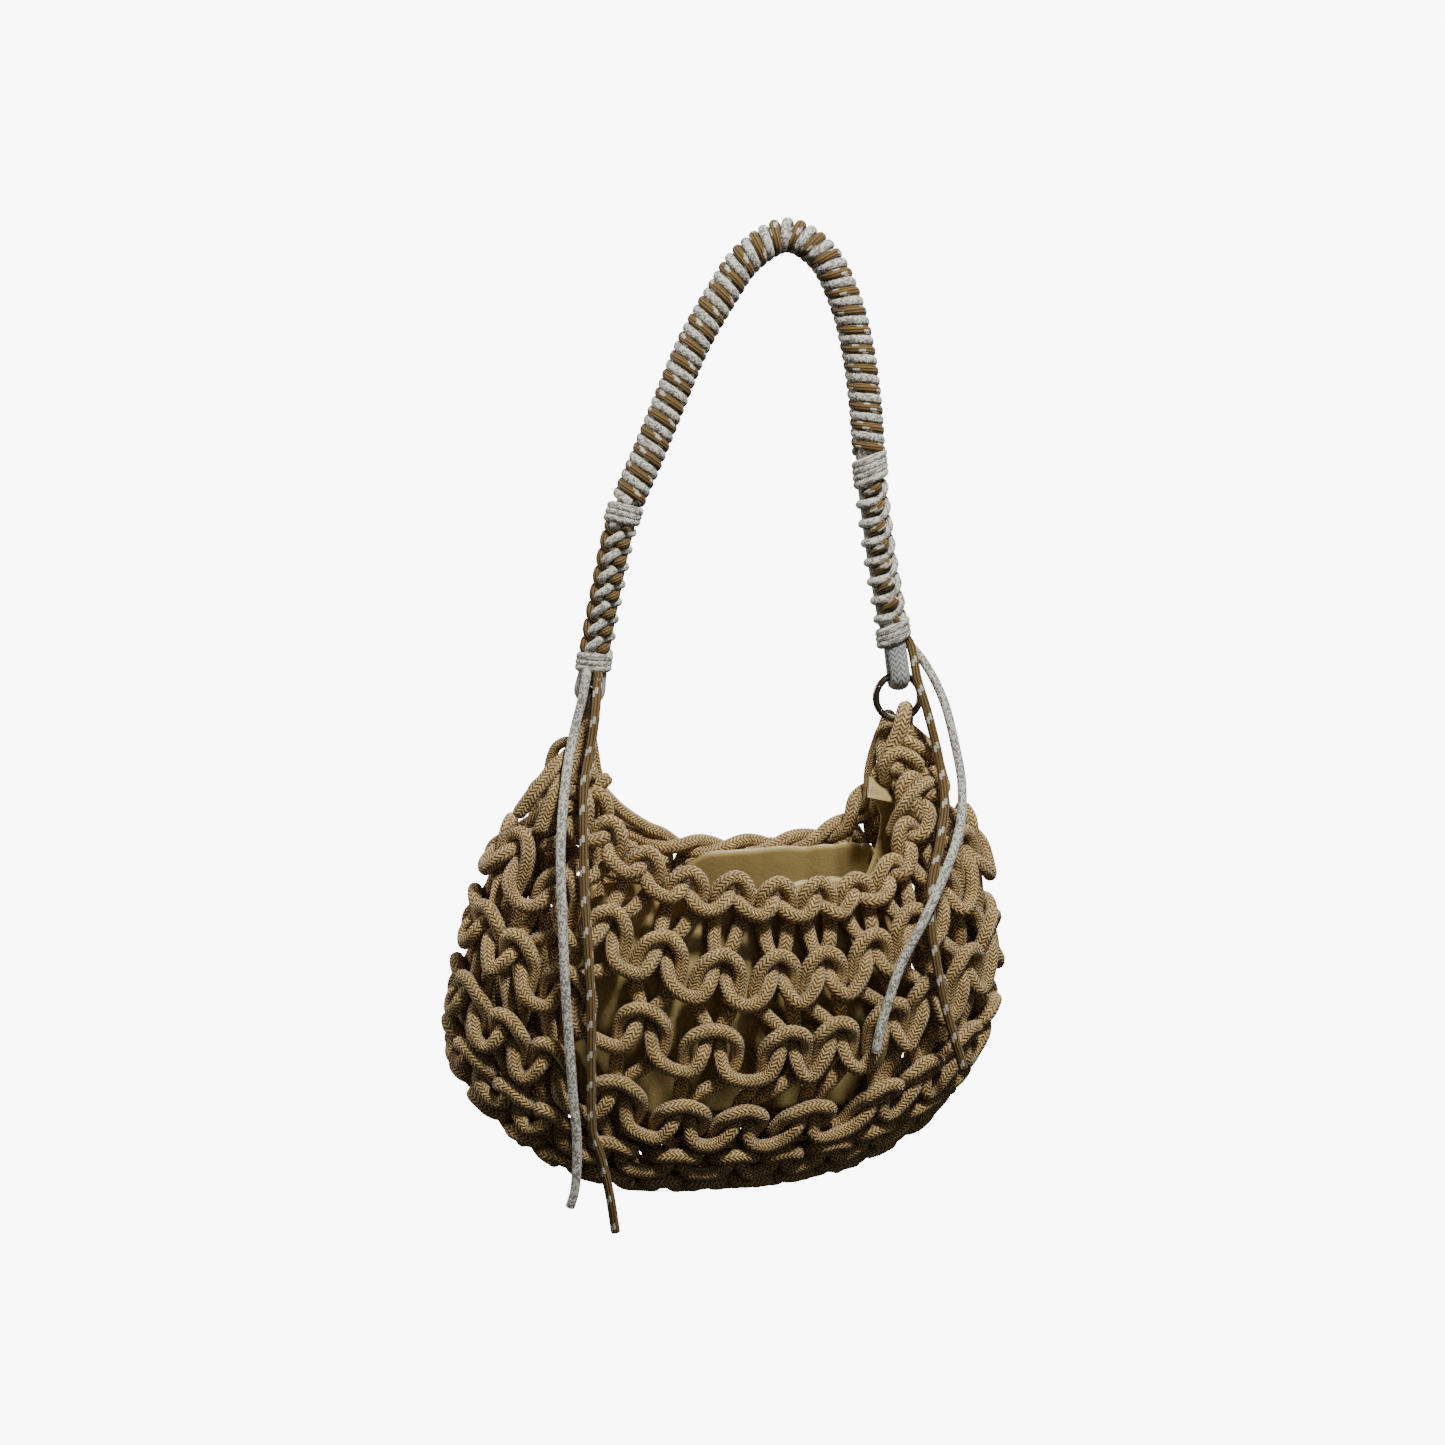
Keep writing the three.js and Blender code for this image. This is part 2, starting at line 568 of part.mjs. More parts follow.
function pouch() {
  const around = 28;
  const corners = [];
  const faces = [];
  const rows = POUCH_ROWS.length;
  const at = (side, row, j) => (side * rows + row) * around + (j % around);
  for (const inset of [0, POUCH_WALL]) {
    POUCH_ROWS.forEach((row, i) => {
      for (let j = 0; j < around; j++) {
        const corner = pouchCorner((j + 0.5) / around, row, inset);
        if (inset && i === rows - 1) corner.z += POUCH_WALL;
        corners.push(corner);
      }
    });
  }
  for (let j = 0; j < around; j++) {
    for (let row = 0; row < rows - 1; row++) {
      faces.push([at(0, row, j), at(0, row + 1, j), at(0, row + 1, j + 1), at(0, row, j + 1)]);
      faces.push([at(1, row, j), at(1, row, j + 1), at(1, row + 1, j + 1), at(1, row + 1, j)]);
    }
    faces.push([at(0, 0, j), at(0, 0, j + 1), at(1, 0, j + 1), at(1, 0, j)]);
  }
  const round = [...Array(around).keys()];
  faces.push(round.map((j) => at(0, rows - 1, j)).reverse());
  faces.push(round.map((j) => at(1, rows - 1, j)));
  return closedMesh(corners, faces);
}

// The tab on the pouch's right end, which reaches up towards the ear.
function pouchTab() {
  const foot = pouchCorner(0, POUCH_ROWS[0], -POUCH_WALL - CLEARANCE);
  const hem = pouchCorner(0, POUCH_ROWS[1], -POUCH_WALL - CLEARANCE);
  const lower = foot.clone().lerp(hem, TAB_HEM);
  const upper = foot.clone().lerp(rimEdgePoint(0), TAB_REACH);
  const line = new THREE.CatmullRomCurve3([lower, foot, upper], false, 'centripetal');
  const stations = [];
  for (let i = 0; i <= 8; i++) {
    stations.push(station(line.getPoint(i / 8), line.getTangent(i / 8), FRONT, TAB_WIDE / 2, POUCH_WALL / 2));
  }
  return sweep(stations, 8);
}

// A loose cord end: a plain tube along its route.
function cordEnd(route) {
  const section = [];
  for (let i = 0; i < CORD_SIDES; i++) {
    const angle = (2 * Math.PI * i) / CORD_SIDES;
    section.push(new THREE.Vector2(Math.cos(angle), Math.sin(angle)).multiplyScalar(CORD / 2));
  }
  const line = new THREE.CatmullRomCurve3(route.map(([x, y, z]) => vector(x, y, z)), false, 'centripetal');
  return new THREE.ExtrudeGeometry(new THREE.Shape(section), { steps: CORD_STEPS, extrudePath: line });
}

const finish = (colour, roughness, metalness = 0) =>
  new THREE.MeshStandardMaterial({ color: colour, roughness, metalness });
const ROPE_TAN = finish(0xa98d5f, 0.85);
const CORD_WHITE = finish(0xd8d6cf, 0.8);
const CORD_BROWN = finish(0x8a6a34, 0.8);
const CORE_PALE = finish(0xcfd2d2, 0.8);
const STRAP_MIXED = finish(0xb0a483, 0.8);
const METAL_DARK = finish(0x4a4238, 0.3, 1);
const POUCH_KHAKI = finish(0x9a8660, 0.55);

const bag = new THREE.Group();

function add(name, geometry, material, parent = bag) {
  const mesh = new THREE.Mesh(geometry, material);
  mesh.name = name;
  parent.add(mesh);
  return mesh;
}

add('crochet_body', netShell(), ROPE_TAN);
add('rim_edge', rimEdge(), ROPE_TAN);
add('inner_pouch', pouch(), POUCH_KHAKI);
add('pouch_tab', pouchTab(), POUCH_KHAKI);

const SIDES = {
  left: { rimTurn: 0.5, turned: -90, lateral: vector(1, 0, 0), earTwist: 0 },
  right: { rimTurn: 0, turned: 0, lateral: vector(0, 1, 0), earTwist: 90 },
};

for (const [side, { rimTurn, turned, lateral, earTwist }] of Object.entries(SIDES)) {
  const marks = strapMarks(side);
  add(`ear_${side}`, ear(RING_CENTRES[side], rimTurn, earTwist), ROPE_TAN);
  add(`strap_loop_${side}`, coreLoop(side, lateral), CORE_PALE);
  add(`collar_lower_${side}`, stretch(marks, 0, COLLAR, COLLAR, 1, 16), CORD_WHITE);
  add(`braid_${side}`, stretch(marks, 1, BRAID_WIDE, BRAID_THICK, 8, 12), STRAP_MIXED);
  add(`collar_upper_${side}`, stretch(marks, 2, COLLAR, COLLAR, 1, 16), CORD_WHITE);

  const hardware = new THREE.Group();
  hardware.position.copy(RING_CENTRES[side]);
  hardware.rotation.z = radians(turned);
  add(`ring_${side}`, snapRing(), METAL_DARK, hardware);
  add(`gate_${side}`, snapGate(), METAL_DARK, hardware);
  bag.add(hardware);
}

const [wrapFrom, wrapTo] = [strapMarks('left')[3], strapMarks('right')[3]];
add('strap_wrap', strapPiece(wrapFrom + CLEARANCE / 2, wrapTo - CLEARANCE / 2, STRAP, STRAP, 32, 12), STRAP_MIXED);

for (const [name, route] of Object.entries(LOOSE_ENDS)) {
  add(name, cordEnd(route), name.includes('white') ? CORD_WHITE : CORD_BROWN);
}

export default bag;
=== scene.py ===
"""Crochet shoulder bag: interlocked rows of thick rope, a wound strap, snap rings and a pouch."""

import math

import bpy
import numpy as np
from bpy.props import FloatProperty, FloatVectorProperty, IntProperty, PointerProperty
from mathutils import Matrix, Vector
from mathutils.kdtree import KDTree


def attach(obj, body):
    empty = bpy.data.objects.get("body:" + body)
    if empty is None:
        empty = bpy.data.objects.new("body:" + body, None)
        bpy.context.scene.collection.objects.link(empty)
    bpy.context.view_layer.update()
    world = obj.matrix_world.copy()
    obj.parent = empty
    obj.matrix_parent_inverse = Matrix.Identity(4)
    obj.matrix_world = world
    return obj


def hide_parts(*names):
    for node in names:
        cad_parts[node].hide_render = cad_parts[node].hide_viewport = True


bl_info = {
    "name": "Crochet shoulder bag",
    "version": (1, 0, 0),
    "blender": (4, 5, 0),
    "location": "3D View > Sidebar > Crochet bag",
    "description": "Builds a crocheted rope shoulder bag around its packed model",
    "category": "Object",
}

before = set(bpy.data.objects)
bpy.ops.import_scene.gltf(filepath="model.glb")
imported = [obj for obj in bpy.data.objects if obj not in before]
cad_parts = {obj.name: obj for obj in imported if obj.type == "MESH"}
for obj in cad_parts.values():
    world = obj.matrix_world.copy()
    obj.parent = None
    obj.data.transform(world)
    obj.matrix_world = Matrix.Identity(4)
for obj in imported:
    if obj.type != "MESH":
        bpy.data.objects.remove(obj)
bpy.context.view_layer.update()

MM = 0.001

# Camera: the photograph is 1445 pixels square, and 0.54 mm a pixel at the strap's plane.
PHOTO_PIXELS = 1445
PIXEL = 0.54 * MM
CAMERA_DISTANCE = 1.2
CAMERA_AZIMUTH = math.radians(-8)
CAMERA_ELEVATION = math.radians(8)
HANG_PIXEL = (787, 253)
SENSOR = 36.0
CLIP = (0.05, 20)

# Rows of the body, top to bottom: the same shares of its length, depth and height as in the
# part's source. high and low are how far above and below the row its upper loops and the lower
# loops of the rope above reach, in rows. tops is how far the twelfth to the twentieth upper loops
# lie from their places in an even row, in stitches.
ROWS = [
    {"length": 0.692, "depth": 0.70, "shift": 0.025, "front": 0.261, "back": 0.253,
     "left": 0.012, "right": -0.008, "peak": (2.6, 8, 3.4), "high": 0.25, "low": 0.19,
     "tops": (0.0, 0.05, 0.10, 0.18, 0.26, 0.34, 0.38, 0.34, 0.22)},
    {"length": 0.895, "depth": 0.89, "shift": 0.025, "front": 0.446, "back": 0.418,
     "left": 0.155, "right": 0.159, "peak": (2.2, 2.6, 2.6), "high": 0.32, "low": 0.34,
     "tops": (-0.18, -0.34, -0.10, 0.06, 0.18, 0.34, 0.46, 0.34, 0.34)},
    {"length": 0.976, "depth": 1.00, "shift": 0.019, "front": 0.611, "back": 0.593,
     "left": 0.320, "right": 0.401, "peak": (2.2, 2.2, 2.2), "high": 0.27, "low": 0.38,
     "tops": (-0.14, -0.26, -0.46, -0.34, 0.14, 0.42, 0.78, 0.66, 0.70)},
    {"length": 1.000, "depth": 0.96, "shift": 0.000, "front": 0.790, "back": 0.777,
     "left": 0.486, "right": 0.597, "peak": (2.4, 2.4, 2.4), "high": 0.24, "low": 0.46,
     "tops": (-0.14, -0.30, -0.30, -0.38, -0.06, 0.14, 0.22, 0.42, 0.78)},
    {"length": 0.953, "depth": 0.80, "shift": -0.034, "front": 0.902, "back": 0.892,
     "left": 0.624, "right": 0.745, "peak": (2.6, 2.6, 2.6), "high": 0.24, "low": 0.36,
     "tops": (-0.06, -0.10, -0.02, -0.14, 0.10, 0.34, 0.54, 0.40, 0.40)},
    {"length": 0.861, "depth": 0.58, "shift": -0.056, "front": 0.969, "back": 0.965,
     "left": 0.717, "right": 0.846, "peak": (2.8, 2.8, 2.8), "high": 0.28, "low": 0.34,
     "tops": (0.0, 0.1, 0.2, 0.0, 0.1, 0.3, 0.2, 0.3, 0.2)},
    {"length": 0.642, "depth": 0.20, "shift": -0.061, "front": 0.990, "back": 0.990,
     "left": 0.820, "right": 0.930, "peak": (3, 3, 3), "high": 0.25, "low": 0.12,
     "tops": (0.0, 0.0, 0.1, 0.1, 0.1, 0.2, 0.2, 0.1, 0.1)},
]
LAST_ROW = len(ROWS) - 1
FIRST_SEEN = 12  # number of the first upper loop that tops tells about

# Route of the strap on each side of the hanging point, as shares of its span and its drop.
STRAP_LEFT = (
    (0.196, 0.009), (0.336, 0.095), (0.472, 0.198), (0.588, 0.317), (0.700, 0.436),
    (0.821, 0.560), (0.910, 0.726), (0.978, 0.889), (1, 1),
)
STRAP_RIGHT = (
    (0.300, 0.004), (0.502, 0.102), (0.609, 0.201), (0.682, 0.323), (0.732, 0.476),
    (0.826, 0.662), (0.950, 0.849), (1, 1),
)
# Lengths along each end of the strap, counted up from the ring's centre, in metres.
STRAP_ENDS = {
    "left": {"loop": 0.0206, "lower": 0.014, "braid": 0.068, "upper": 0.0146},
    "right": {"loop": 0.0293, "lower": 0.0149, "braid": 0.075, "upper": 0.019},
}

# Routes of the four loose cord ends, the same points as in the part's source.
CORD_ENDS = {
    "white_left": [
        (-0.1115, -0.0089, -0.229), (-0.114, -0.010, -0.241), (-0.1186, -0.0125, -0.2578),
        (-0.124, -0.025, -0.281), (-0.1275, -0.039, -0.306), (-0.1286, -0.046, -0.323),
        (-0.1284, -0.054, -0.353), (-0.1273, -0.060, -0.394), (-0.1254, -0.0615, -0.4268),
        (-0.124, -0.0615, -0.449), (-0.1225, -0.0615, -0.467), (-0.1225, -0.061, -0.485),
        (-0.124, -0.0605, -0.500), (-0.1263, -0.060, -0.508),
    ],
    "brown_left": [
        (-0.1049, -0.0089, -0.2286), (-0.106, -0.0145, -0.238), (-0.1074, -0.0195, -0.2485),
        (-0.110, -0.0225, -0.264), (-0.1143, -0.030, -0.283), (-0.1158, -0.040, -0.308),
        (-0.1162, -0.047, -0.333), (-0.1154, -0.057, -0.363), (-0.1144, -0.0625, -0.394),
        (-0.1146, -0.064, -0.4265), (-0.1148, -0.064, -0.450), (-0.114, -0.0635, -0.4665),
        (-0.1102, -0.063, -0.479), (-0.1052, -0.062, -0.501), (-0.102, -0.0605, -0.523),
    ],
    "white_right": [
        (0.071, 0.0026, -0.2142), (0.0765, 0.001, -0.2205), (0.082, -0.004, -0.230),
        (0.088, -0.010, -0.245), (0.0926, -0.017, -0.267), (0.095, -0.025, -0.289),
        (0.091, -0.037, -0.311), (0.078, -0.052, -0.337), (0.0655, -0.0605, -0.358),
        (0.054, -0.0625, -0.379), (0.046, -0.065, -0.400), (0.041, -0.067, -0.416),
        (0.0388, -0.0675, -0.427),
    ],
    "brown_right": [
        (0.0704, -0.0034, -0.2141), (0.0714, -0.0065, -0.2215), (0.0724, -0.010, -0.231),
        (0.0776, -0.0145, -0.250), (0.0834, -0.020, -0.277), (0.0845, -0.029, -0.2975),
        (0.080, -0.0385, -0.3175), (0.074, -0.0465, -0.338), (0.072, -0.053, -0.359),
        (0.074, -0.0575, -0.380), (0.078, -0.060, -0.4025), (0.0846, -0.0605, -0.425),
        (0.0894, -0.0595, -0.440),
    ],
}


class BagSizes(bpy.types.PropertyGroup):
    """Sizes of the bag"""

    rope: FloatProperty(
        name="Body rope", description="Diameter of the crocheted rope",
        default=0.008, min=0.001, unit="LENGTH")
    cord: FloatProperty(
        name="Cord", description="Diameter of the cords on the strap",
        default=0.0052, min=0.001, unit="LENGTH")
    core_width: FloatProperty(
        name="Core width", description="Width of the strap's core rope in its ring loops",
        default=0.011, min=0.001, unit="LENGTH")
    core_thick: FloatProperty(
        name="Core thickness", description="Thickness of the strap's core rope in its ring loops",
        default=0.0065, min=0.001, unit="LENGTH")
    strap: FloatProperty(
        name="Strap", description="Diameter of the wound strap",
        default=0.019, min=0.001, unit="LENGTH")
    collar: FloatProperty(
        name="Collar", description="Diameter of the collars",
        default=0.020, min=0.001, unit="LENGTH")
    turn_pair: FloatProperty(
        name="Turn pair", description="Length of strap that one white and one brown turn take",
        default=0.0106, min=0.001, unit="LENGTH")
    length: FloatProperty(
        name="Length", description="Length of the body, to the middle of its wall",
        default=0.296, min=0.01, unit="LENGTH")
    depth: FloatProperty(
        name="Depth", description="Depth of the body, to the middle of its wall",
        default=0.112, min=0.01, unit="LENGTH")
    height: FloatProperty(
        name="Height", description="Height of the body, from the rim's ends down to the bottom",
        default=0.2235, min=0.01, unit="LENGTH")
    shift: FloatProperty(
        name="Shift", description="How far to the right the body hangs",
        default=-0.033, unit="LENGTH")
    ears_level: FloatProperty(
        name="Rim ends", description="Level of the rim's two ends",
        default=-0.2875, unit="LENGTH")
    squareness: FloatProperty(
        name="Squareness", description="2 gives oval rows, more gives squarer ends",
        default=2.4, min=1)
    stitches: IntProperty(
        name="Stitches", description="Stitches round a row",
        default=24, min=6)
    span_left: FloatProperty(
        name="Span left", description="From the hanging point sideways to the left ring",
        default=0.1086, unit="LENGTH")
    span_right: FloatProperty(
        name="Span right", description="From the hanging point sideways to the right ring",
        default=0.0639, unit="LENGTH")
    drop: FloatProperty(
        name="Drop", description="From the hanging point down to the rings",
        default=0.2455, unit="LENGTH")
    tilt: FloatProperty(
        name="Tilt", description="The left ring hangs this much lower and the right one higher",
        default=0.0026, unit="LENGTH")


class BagColours(bpy.types.PropertyGroup):
    """Colours of the bag"""

    # The rope's light colour is its own tan on the raised yarns together with a painted highlight;
    # its dark colour is painted shade between the yarns
    rope_yarn_and_highlight: FloatVectorProperty(
        name="Rope light", description="Body rope on its raised yarns",
        subtype="COLOR", size=3, min=0, max=1, default=(0.74, 0.495, 0.185))
    rope_painted_shade: FloatVectorProperty(
        name="Rope dark", description="Body rope between its yarns",
        subtype="COLOR", size=3, min=0, max=1, default=(0.15, 0.086, 0.027))
    white: FloatVectorProperty(
        name="White cord", description="White cord on its raised yarns",
        subtype="COLOR", size=3, min=0, max=1, default=(0.74, 0.715, 0.61))
    # Its grey colour is the cord's own flecks and also the painted shade in its furrows
    grey_flecks_and_shade: FloatVectorProperty(
        name="Grey flecks", description="Flecks of the white cord",
        subtype="COLOR", size=3, min=0, max=1, default=(0.08, 0.07, 0.05))
    brown: FloatVectorProperty(
        name="Brown cord", description="Brown cord on its ribs",
        subtype="COLOR", size=3, min=0, max=1, default=(0.215, 0.124, 0.022))
    # Painted shade between the brown cord's ribs
    brown_painted_shade: FloatVectorProperty(
        name="Brown cord dark", description="Brown cord between its ribs",
        subtype="COLOR", size=3, min=0, max=1, default=(0.03, 0.016, 0.004))
    core: FloatVectorProperty(
        name="Core rope", description="Core rope of the strap",
        subtype="COLOR", size=3, min=0, max=1, default=(0.5, 0.51, 0.47))
    metal: FloatVectorProperty(
        name="Ring metal", description="Burnished metal of the snap rings",
        subtype="COLOR", size=3, min=0, max=1, default=(0.20, 0.16, 0.12))
    pouch: FloatVectorProperty(
        name="Pouch", description="Sheet of the pouch",
        subtype="COLOR", size=3, min=0, max=1, default=(0.42, 0.31, 0.115))


# Lines and tubes

def norm(vectors):
    return vectors / np.linalg.norm(vectors, axis=-1, keepdims=True)


def smooth_line(points, per_span, closed=False):
    """A centripetal curve through the points, with per_span steps from each to the next."""
    p = np.asarray(points, float)
    if closed:
        p = np.concatenate([p[-1:], p, p[:2]])
    else:
        p = np.concatenate([2 * p[:1] - p[1:2], p, 2 * p[-1:] - p[-2:-1]])
    a, b, c, d = p[:-3], p[1:-2], p[2:-1], p[3:]
    gap = [np.maximum(np.linalg.norm(y - x, axis=1, keepdims=True), 1e-7) ** 0.5
           for x, y in ((a, b), (b, c), (c, d))]
    start = ((b - a) / gap[0] - (c - a) / (gap[0] + gap[1]) + (c - b) / gap[1]) * gap[1]
    end = ((c - b) / gap[1] - (d - b) / (gap[1] + gap[2]) + (d - c) / gap[2]) * gap[1]
    t = (np.arange(per_span) / per_span)[None, :, None]
    b, c, start, end = (v[:, None, :] for v in (b, c, start, end))
    curve = (b * (1 + 2 * t) * (1 - t) ** 2 + start * t * (1 - t) ** 2
             + c * t ** 2 * (3 - 2 * t) + end * t ** 2 * (t - 1))
    curve = curve.reshape(-1, 3)
    return curve if closed else np.concatenate([curve, p[-2:-1]])


def lengths_along(points, closed=False):
    ends = np.concatenate([points, points[:1]]) if closed else points
    return np.concatenate([[0], np.cumsum(np.linalg.norm(np.diff(ends, axis=0), axis=1))])


def resample(points, step, closed=False):
    """The same line with evenly spaced points."""
    along = lengths_along(points, closed)
    count = max(int(round(along[-1] / step)), 3)
    wanted = np.arange(count + (0 if closed else 1)) * along[-1] / count
    ends = np.concatenate([points, points[:1]]) if closed else points
    return np.stack([np.interp(wanted, along, ends[:, axis]) for axis in range(3)], 1)


def turned(vectors, axes, angles):
    """Vectors turned about unit axes."""
    c, s = np.cos(angles)[:, None], np.sin(angles)[:, None]
    kept = axes * (vectors * axes).sum(1, keepdims=True)
    return vectors * c + np.cross(axes, vectors) * s + kept * (1 - c)


SLANTED = (0.31, 0.52, 0.79)  # a direction that no rope starts along


def carried_sides(points, closed):
    """Tangents, and side vectors that are carried along the line without twisting about it."""
    if closed:
        tangents = norm(np.roll(points, -1, 0) - np.roll(points, 1, 0))
    else:
        tangents = norm(np.gradient(points, axis=0))
    side = np.cross(tangents[0], SLANTED)
    sides = []
    for tangent in tangents:
        side = side - tangent * side.dot(tangent)
        side = side / math.sqrt(side.dot(side))
        sides.append(side)
    sides = np.array(sides)
    if closed:
        last = sides[-1] - tangents[0] * sides[-1].dot(tangents[0])
        angle = math.atan2(np.cross(last, sides[0]).dot(tangents[0]), last.dot(sides[0]))
        sides = turned(sides, tangents, angle * np.arange(len(sides)) / len(sides))
    return tangents, sides


# Rings past a strand's end: how far they stand out and how wide they are, as shares of its radius
ROUND_END = ((0.45, 0.86), (0.75, 0.5))
CUT_END = ((0.12, 0.93), (0.18, 0.6))


class Strand:
    """A rope or cord along a line: wide is across the side vectors, and thick along them."""

    def __init__(self, points, wide, thick=None, closed=False, out=None, sides=12, round_ends=True):
        self.points = np.asarray(points, float)
        self.closed = closed
        self.wide, self.thick = (
            np.broadcast_to(np.asarray(size, float) / 2, len(self.points))
            for size in (wide, wide if thick is None else thick))
        self.out = out
        self.sides = sides
        self.round_ends = round_ends

    def rings(self):
        tangents, out = carried_sides(self.points, self.closed)
        if self.out is not None:
            out = norm(self.out - tangents * (self.out * tangents).sum(1, keepdims=True))
        across = np.cross(tangents, out)
        angles = 2 * math.pi * np.arange(self.sides) / self.sides
        ring = (np.cos(angles)[None, :, None] * (out * self.thick[:, None])[:, None, :]
                + np.sin(angles)[None, :, None] * (across * self.wide[:, None])[:, None, :])
        centres = self.points
        along = lengths_along(self.points, self.closed)
        if self.closed:
            along = along[:-1]
        else:
            caps = ROUND_END if self.round_ends else CUT_END
            reach = self.thick[[0, -1]]
            first = [(centres[0] - tangents[0] * far * reach[0], ring[0] * share)
                     for far, share in reversed(caps)]
            last = [(centres[-1] + tangents[-1] * far * reach[1], ring[-1] * share)
                    for far, share in caps]
            centres = np.concatenate([[c for c, _ in first], centres, [c for c, _ in last]])
            ring = np.concatenate([[r for _, r in first], ring, [r for _, r in last]])
            before = [-far * reach[0] for far, _ in reversed(caps)]
            after = [along[-1] + far * reach[1] for far, _ in caps]
            along = np.concatenate([before, along, after])
        return centres[:, None, :] + ring, along


def tube_object(name, strands, material):
    """One mesh of all the strands, with a UV map that runs round and along each of them."""
    vertices, faces, uvs = [], [], []
    base = 0
    for strand in strands:
        rings, along = strand.rings()
        count, sides = rings.shape[:2]
        vertices.append(rings.reshape(-1, 3))
        girth = math.pi * float(strand.wide.mean() + strand.thick.mean())
        spans = count if strand.closed else count - 1
        v = (lengths_along(strand.points, True) if strand.closed else along) / girth
        i = np.repeat(np.arange(spans), sides)
        j = np.tile(np.arange(sides), spans)
        following, beside = (i + 1) % count, (j + 1) % sides
        quads = np.stack([i * sides + j, i * sides + beside,
                          following * sides + beside, following * sides + j], 1)
        faces.extend((quads + base).tolist())
        u0, u1 = j / sides, (j + 1) / sides
        v0, v1 = v[i], v[i + 1]
        uvs.append(np.stack([u0, v0, u1, v0, u1, v1, u0, v1], 1).reshape(-1, 2))
        if not strand.closed:
            first = list(range(base + sides - 1, base - 1, -1))
            last = list(range(base + (count - 1) * sides, base + count * sides))
            faces.extend([first, last])
            ends = np.linspace(0, 1, sides, endpoint=False)
            uvs.append(np.stack([ends[::-1], np.full(sides, v[0])], 1))
            uvs.append(np.stack([ends, np.full(sides, v[-1])], 1))
        base += count * sides
    return mesh_object(name, np.concatenate(vertices), faces, material, np.concatenate(uvs))


def mesh_object(name, vertices, faces, material, uvs=None):
    mesh = bpy.data.meshes.new(name)
    mesh.from_pydata(np.asarray(vertices).tolist(), [], faces)
    if uvs is not None:
        layer = mesh.uv_layers.new(name="rope")
        layer.data.foreach_set("uv", uvs.astype(np.float32).ravel())
    mesh.polygons.foreach_set("use_smooth", [True] * len(mesh.polygons))
    mesh.materials.append(material)
    mesh.update()
    obj = bpy.data.objects.new(name, mesh)
    bpy.context.scene.collection.objects.link(obj)
    return obj


def place(obj, slot, *nodes, body="bag"):
    """The piece rides on its body and stands for its nodes, which are hidden; its slot is not used.
    """
    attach(obj, body)
    if nodes:
        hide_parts(*nodes)


# The body's wall, the same surface as in the part's source

NEAR_ROW, NEAR_TURN = 0.03, 2e-3  # how far to look for the directions on the wall


class Wall:
    def __init__(self, sizes):
        self.sizes = sizes
        self.rows = [self.half_rows(row) for row in ROWS]

    def half_rows(self, row):
        """The back half and the front half of a row, each measured by its length."""
        size = self.sizes
        steps = 360
        angle = np.linspace(0, 2 * math.pi, steps + 1)
        power = 2 / size.squareness
        x = np.sign(np.cos(angle)) * np.abs(np.cos(angle)) ** power
        y = np.sign(np.sin(angle)) * np.abs(np.sin(angle)) ** power
        to_back = (1 + y) / 2
        peak_left, peak_front, peak_back = row["peak"]
        peak = np.where(x > 0, peak_front + (peak_back - peak_front) * to_back, peak_left)
        middle = row["front"] + (row["back"] - row["front"]) * to_back
        drop = middle + (np.where(x > 0, row["right"], row["left"]) - middle) * np.abs(x) ** peak
        points = np.stack([
            size.shift + (row["shift"] + x * row["length"] / 2) * size.length,
            y * row["depth"] * size.depth / 2,
            size.ears_level - drop * size.height,
        ], 1)
        halves = points[:steps // 2 + 1], points[steps // 2:]
        return [(half, lengths_along(half) / lengths_along(half)[-1]) for half in halves]

    def row_points(self, index, turn):
        half_turns = 2 * (turn - np.floor(turn))
        which = np.minimum(half_turns.astype(int), 1)
        share = half_turns - which
        found = [np.stack([np.interp(share, along, half[:, axis]) for axis in range(3)], -1)
                 for half, along in self.rows[index]]
        return np.where(which[..., None] == 1, found[1], found[0])

    def point(self, turn, row):
        """turn goes round a row, from the right end by the back, and row counts the rows."""
        turn, row = np.broadcast_arrays(np.asarray(turn, float), np.asarray(row, float))
        first = np.clip(np.floor(row).astype(int), 0, LAST_ROW - 1)
        t = (row - first)[..., None]
        rows = [self.row_points(index, turn) for index in range(LAST_ROW + 1)]
        rows = np.stack([2 * rows[0] - rows[1], *rows, 2 * rows[-1] - rows[-2]])
        a, b, c, d = (np.take_along_axis(rows, (first + k)[None, ..., None], 0)[0]
                      for k in range(4))
        return 0.5 * (2 * b + (c - a) * t + (2 * a - 5 * b + 4 * c - d) * t ** 2
                      + (3 * b - a - 3 * c + d) * t ** 3)

    def normal(self, turn, row):
        turn, row = np.asarray(turn, float), np.asarray(row, float)
        down = self.point(turn, row + NEAR_ROW) - self.point(turn, row - NEAR_ROW)
        around = self.point(turn + NEAR_TURN, row) - self.point(turn - NEAR_TURN, row)
        return norm(np.cross(down, around))

    def off(self, stitches, row, out):
        """A point that stands off the wall, at a place counted in stitches round the row."""
        turn = np.asarray(stitches, float) / self.sizes.stitches
        return self.point(turn, row) + self.normal(turn, row) * np.asarray(out, float)[..., None]


# Rope that is crocheted: a row's rope runs as a wave. Its upper loops pass in front of the lower
# loops of the row above, and its lower loops in front of the upper loops of the row below. Here
# lengths along a row are in stitches, heights in rows, and depths in rope diameters.
LOOP_WIDE, RIM_LOOP_WIDE = 0.33, 0.26  # from the middle of an upper loop to its side
LOOP_SPREAD = (0.93, 1.07)  # how far that varies from loop to loop
TUCK = 0.13  # from the middle of an upper loop to where the two ropes behind it turn back
PAIR_DEPTH = 0.22  # how far the left one of those two is moved to the front, and the other back
IN_FRONT, BEHIND = 0.55, -0.50  # how far a rope's middle stands off the wall
ALONG_JITTER, DOWN_JITTER, BELLY_JITTER = 0.09, 0.035, 0.03
TILT = 0.13  # the front's loops lie higher on the left and lower on the right
TILT_TURN = math.radians(210)
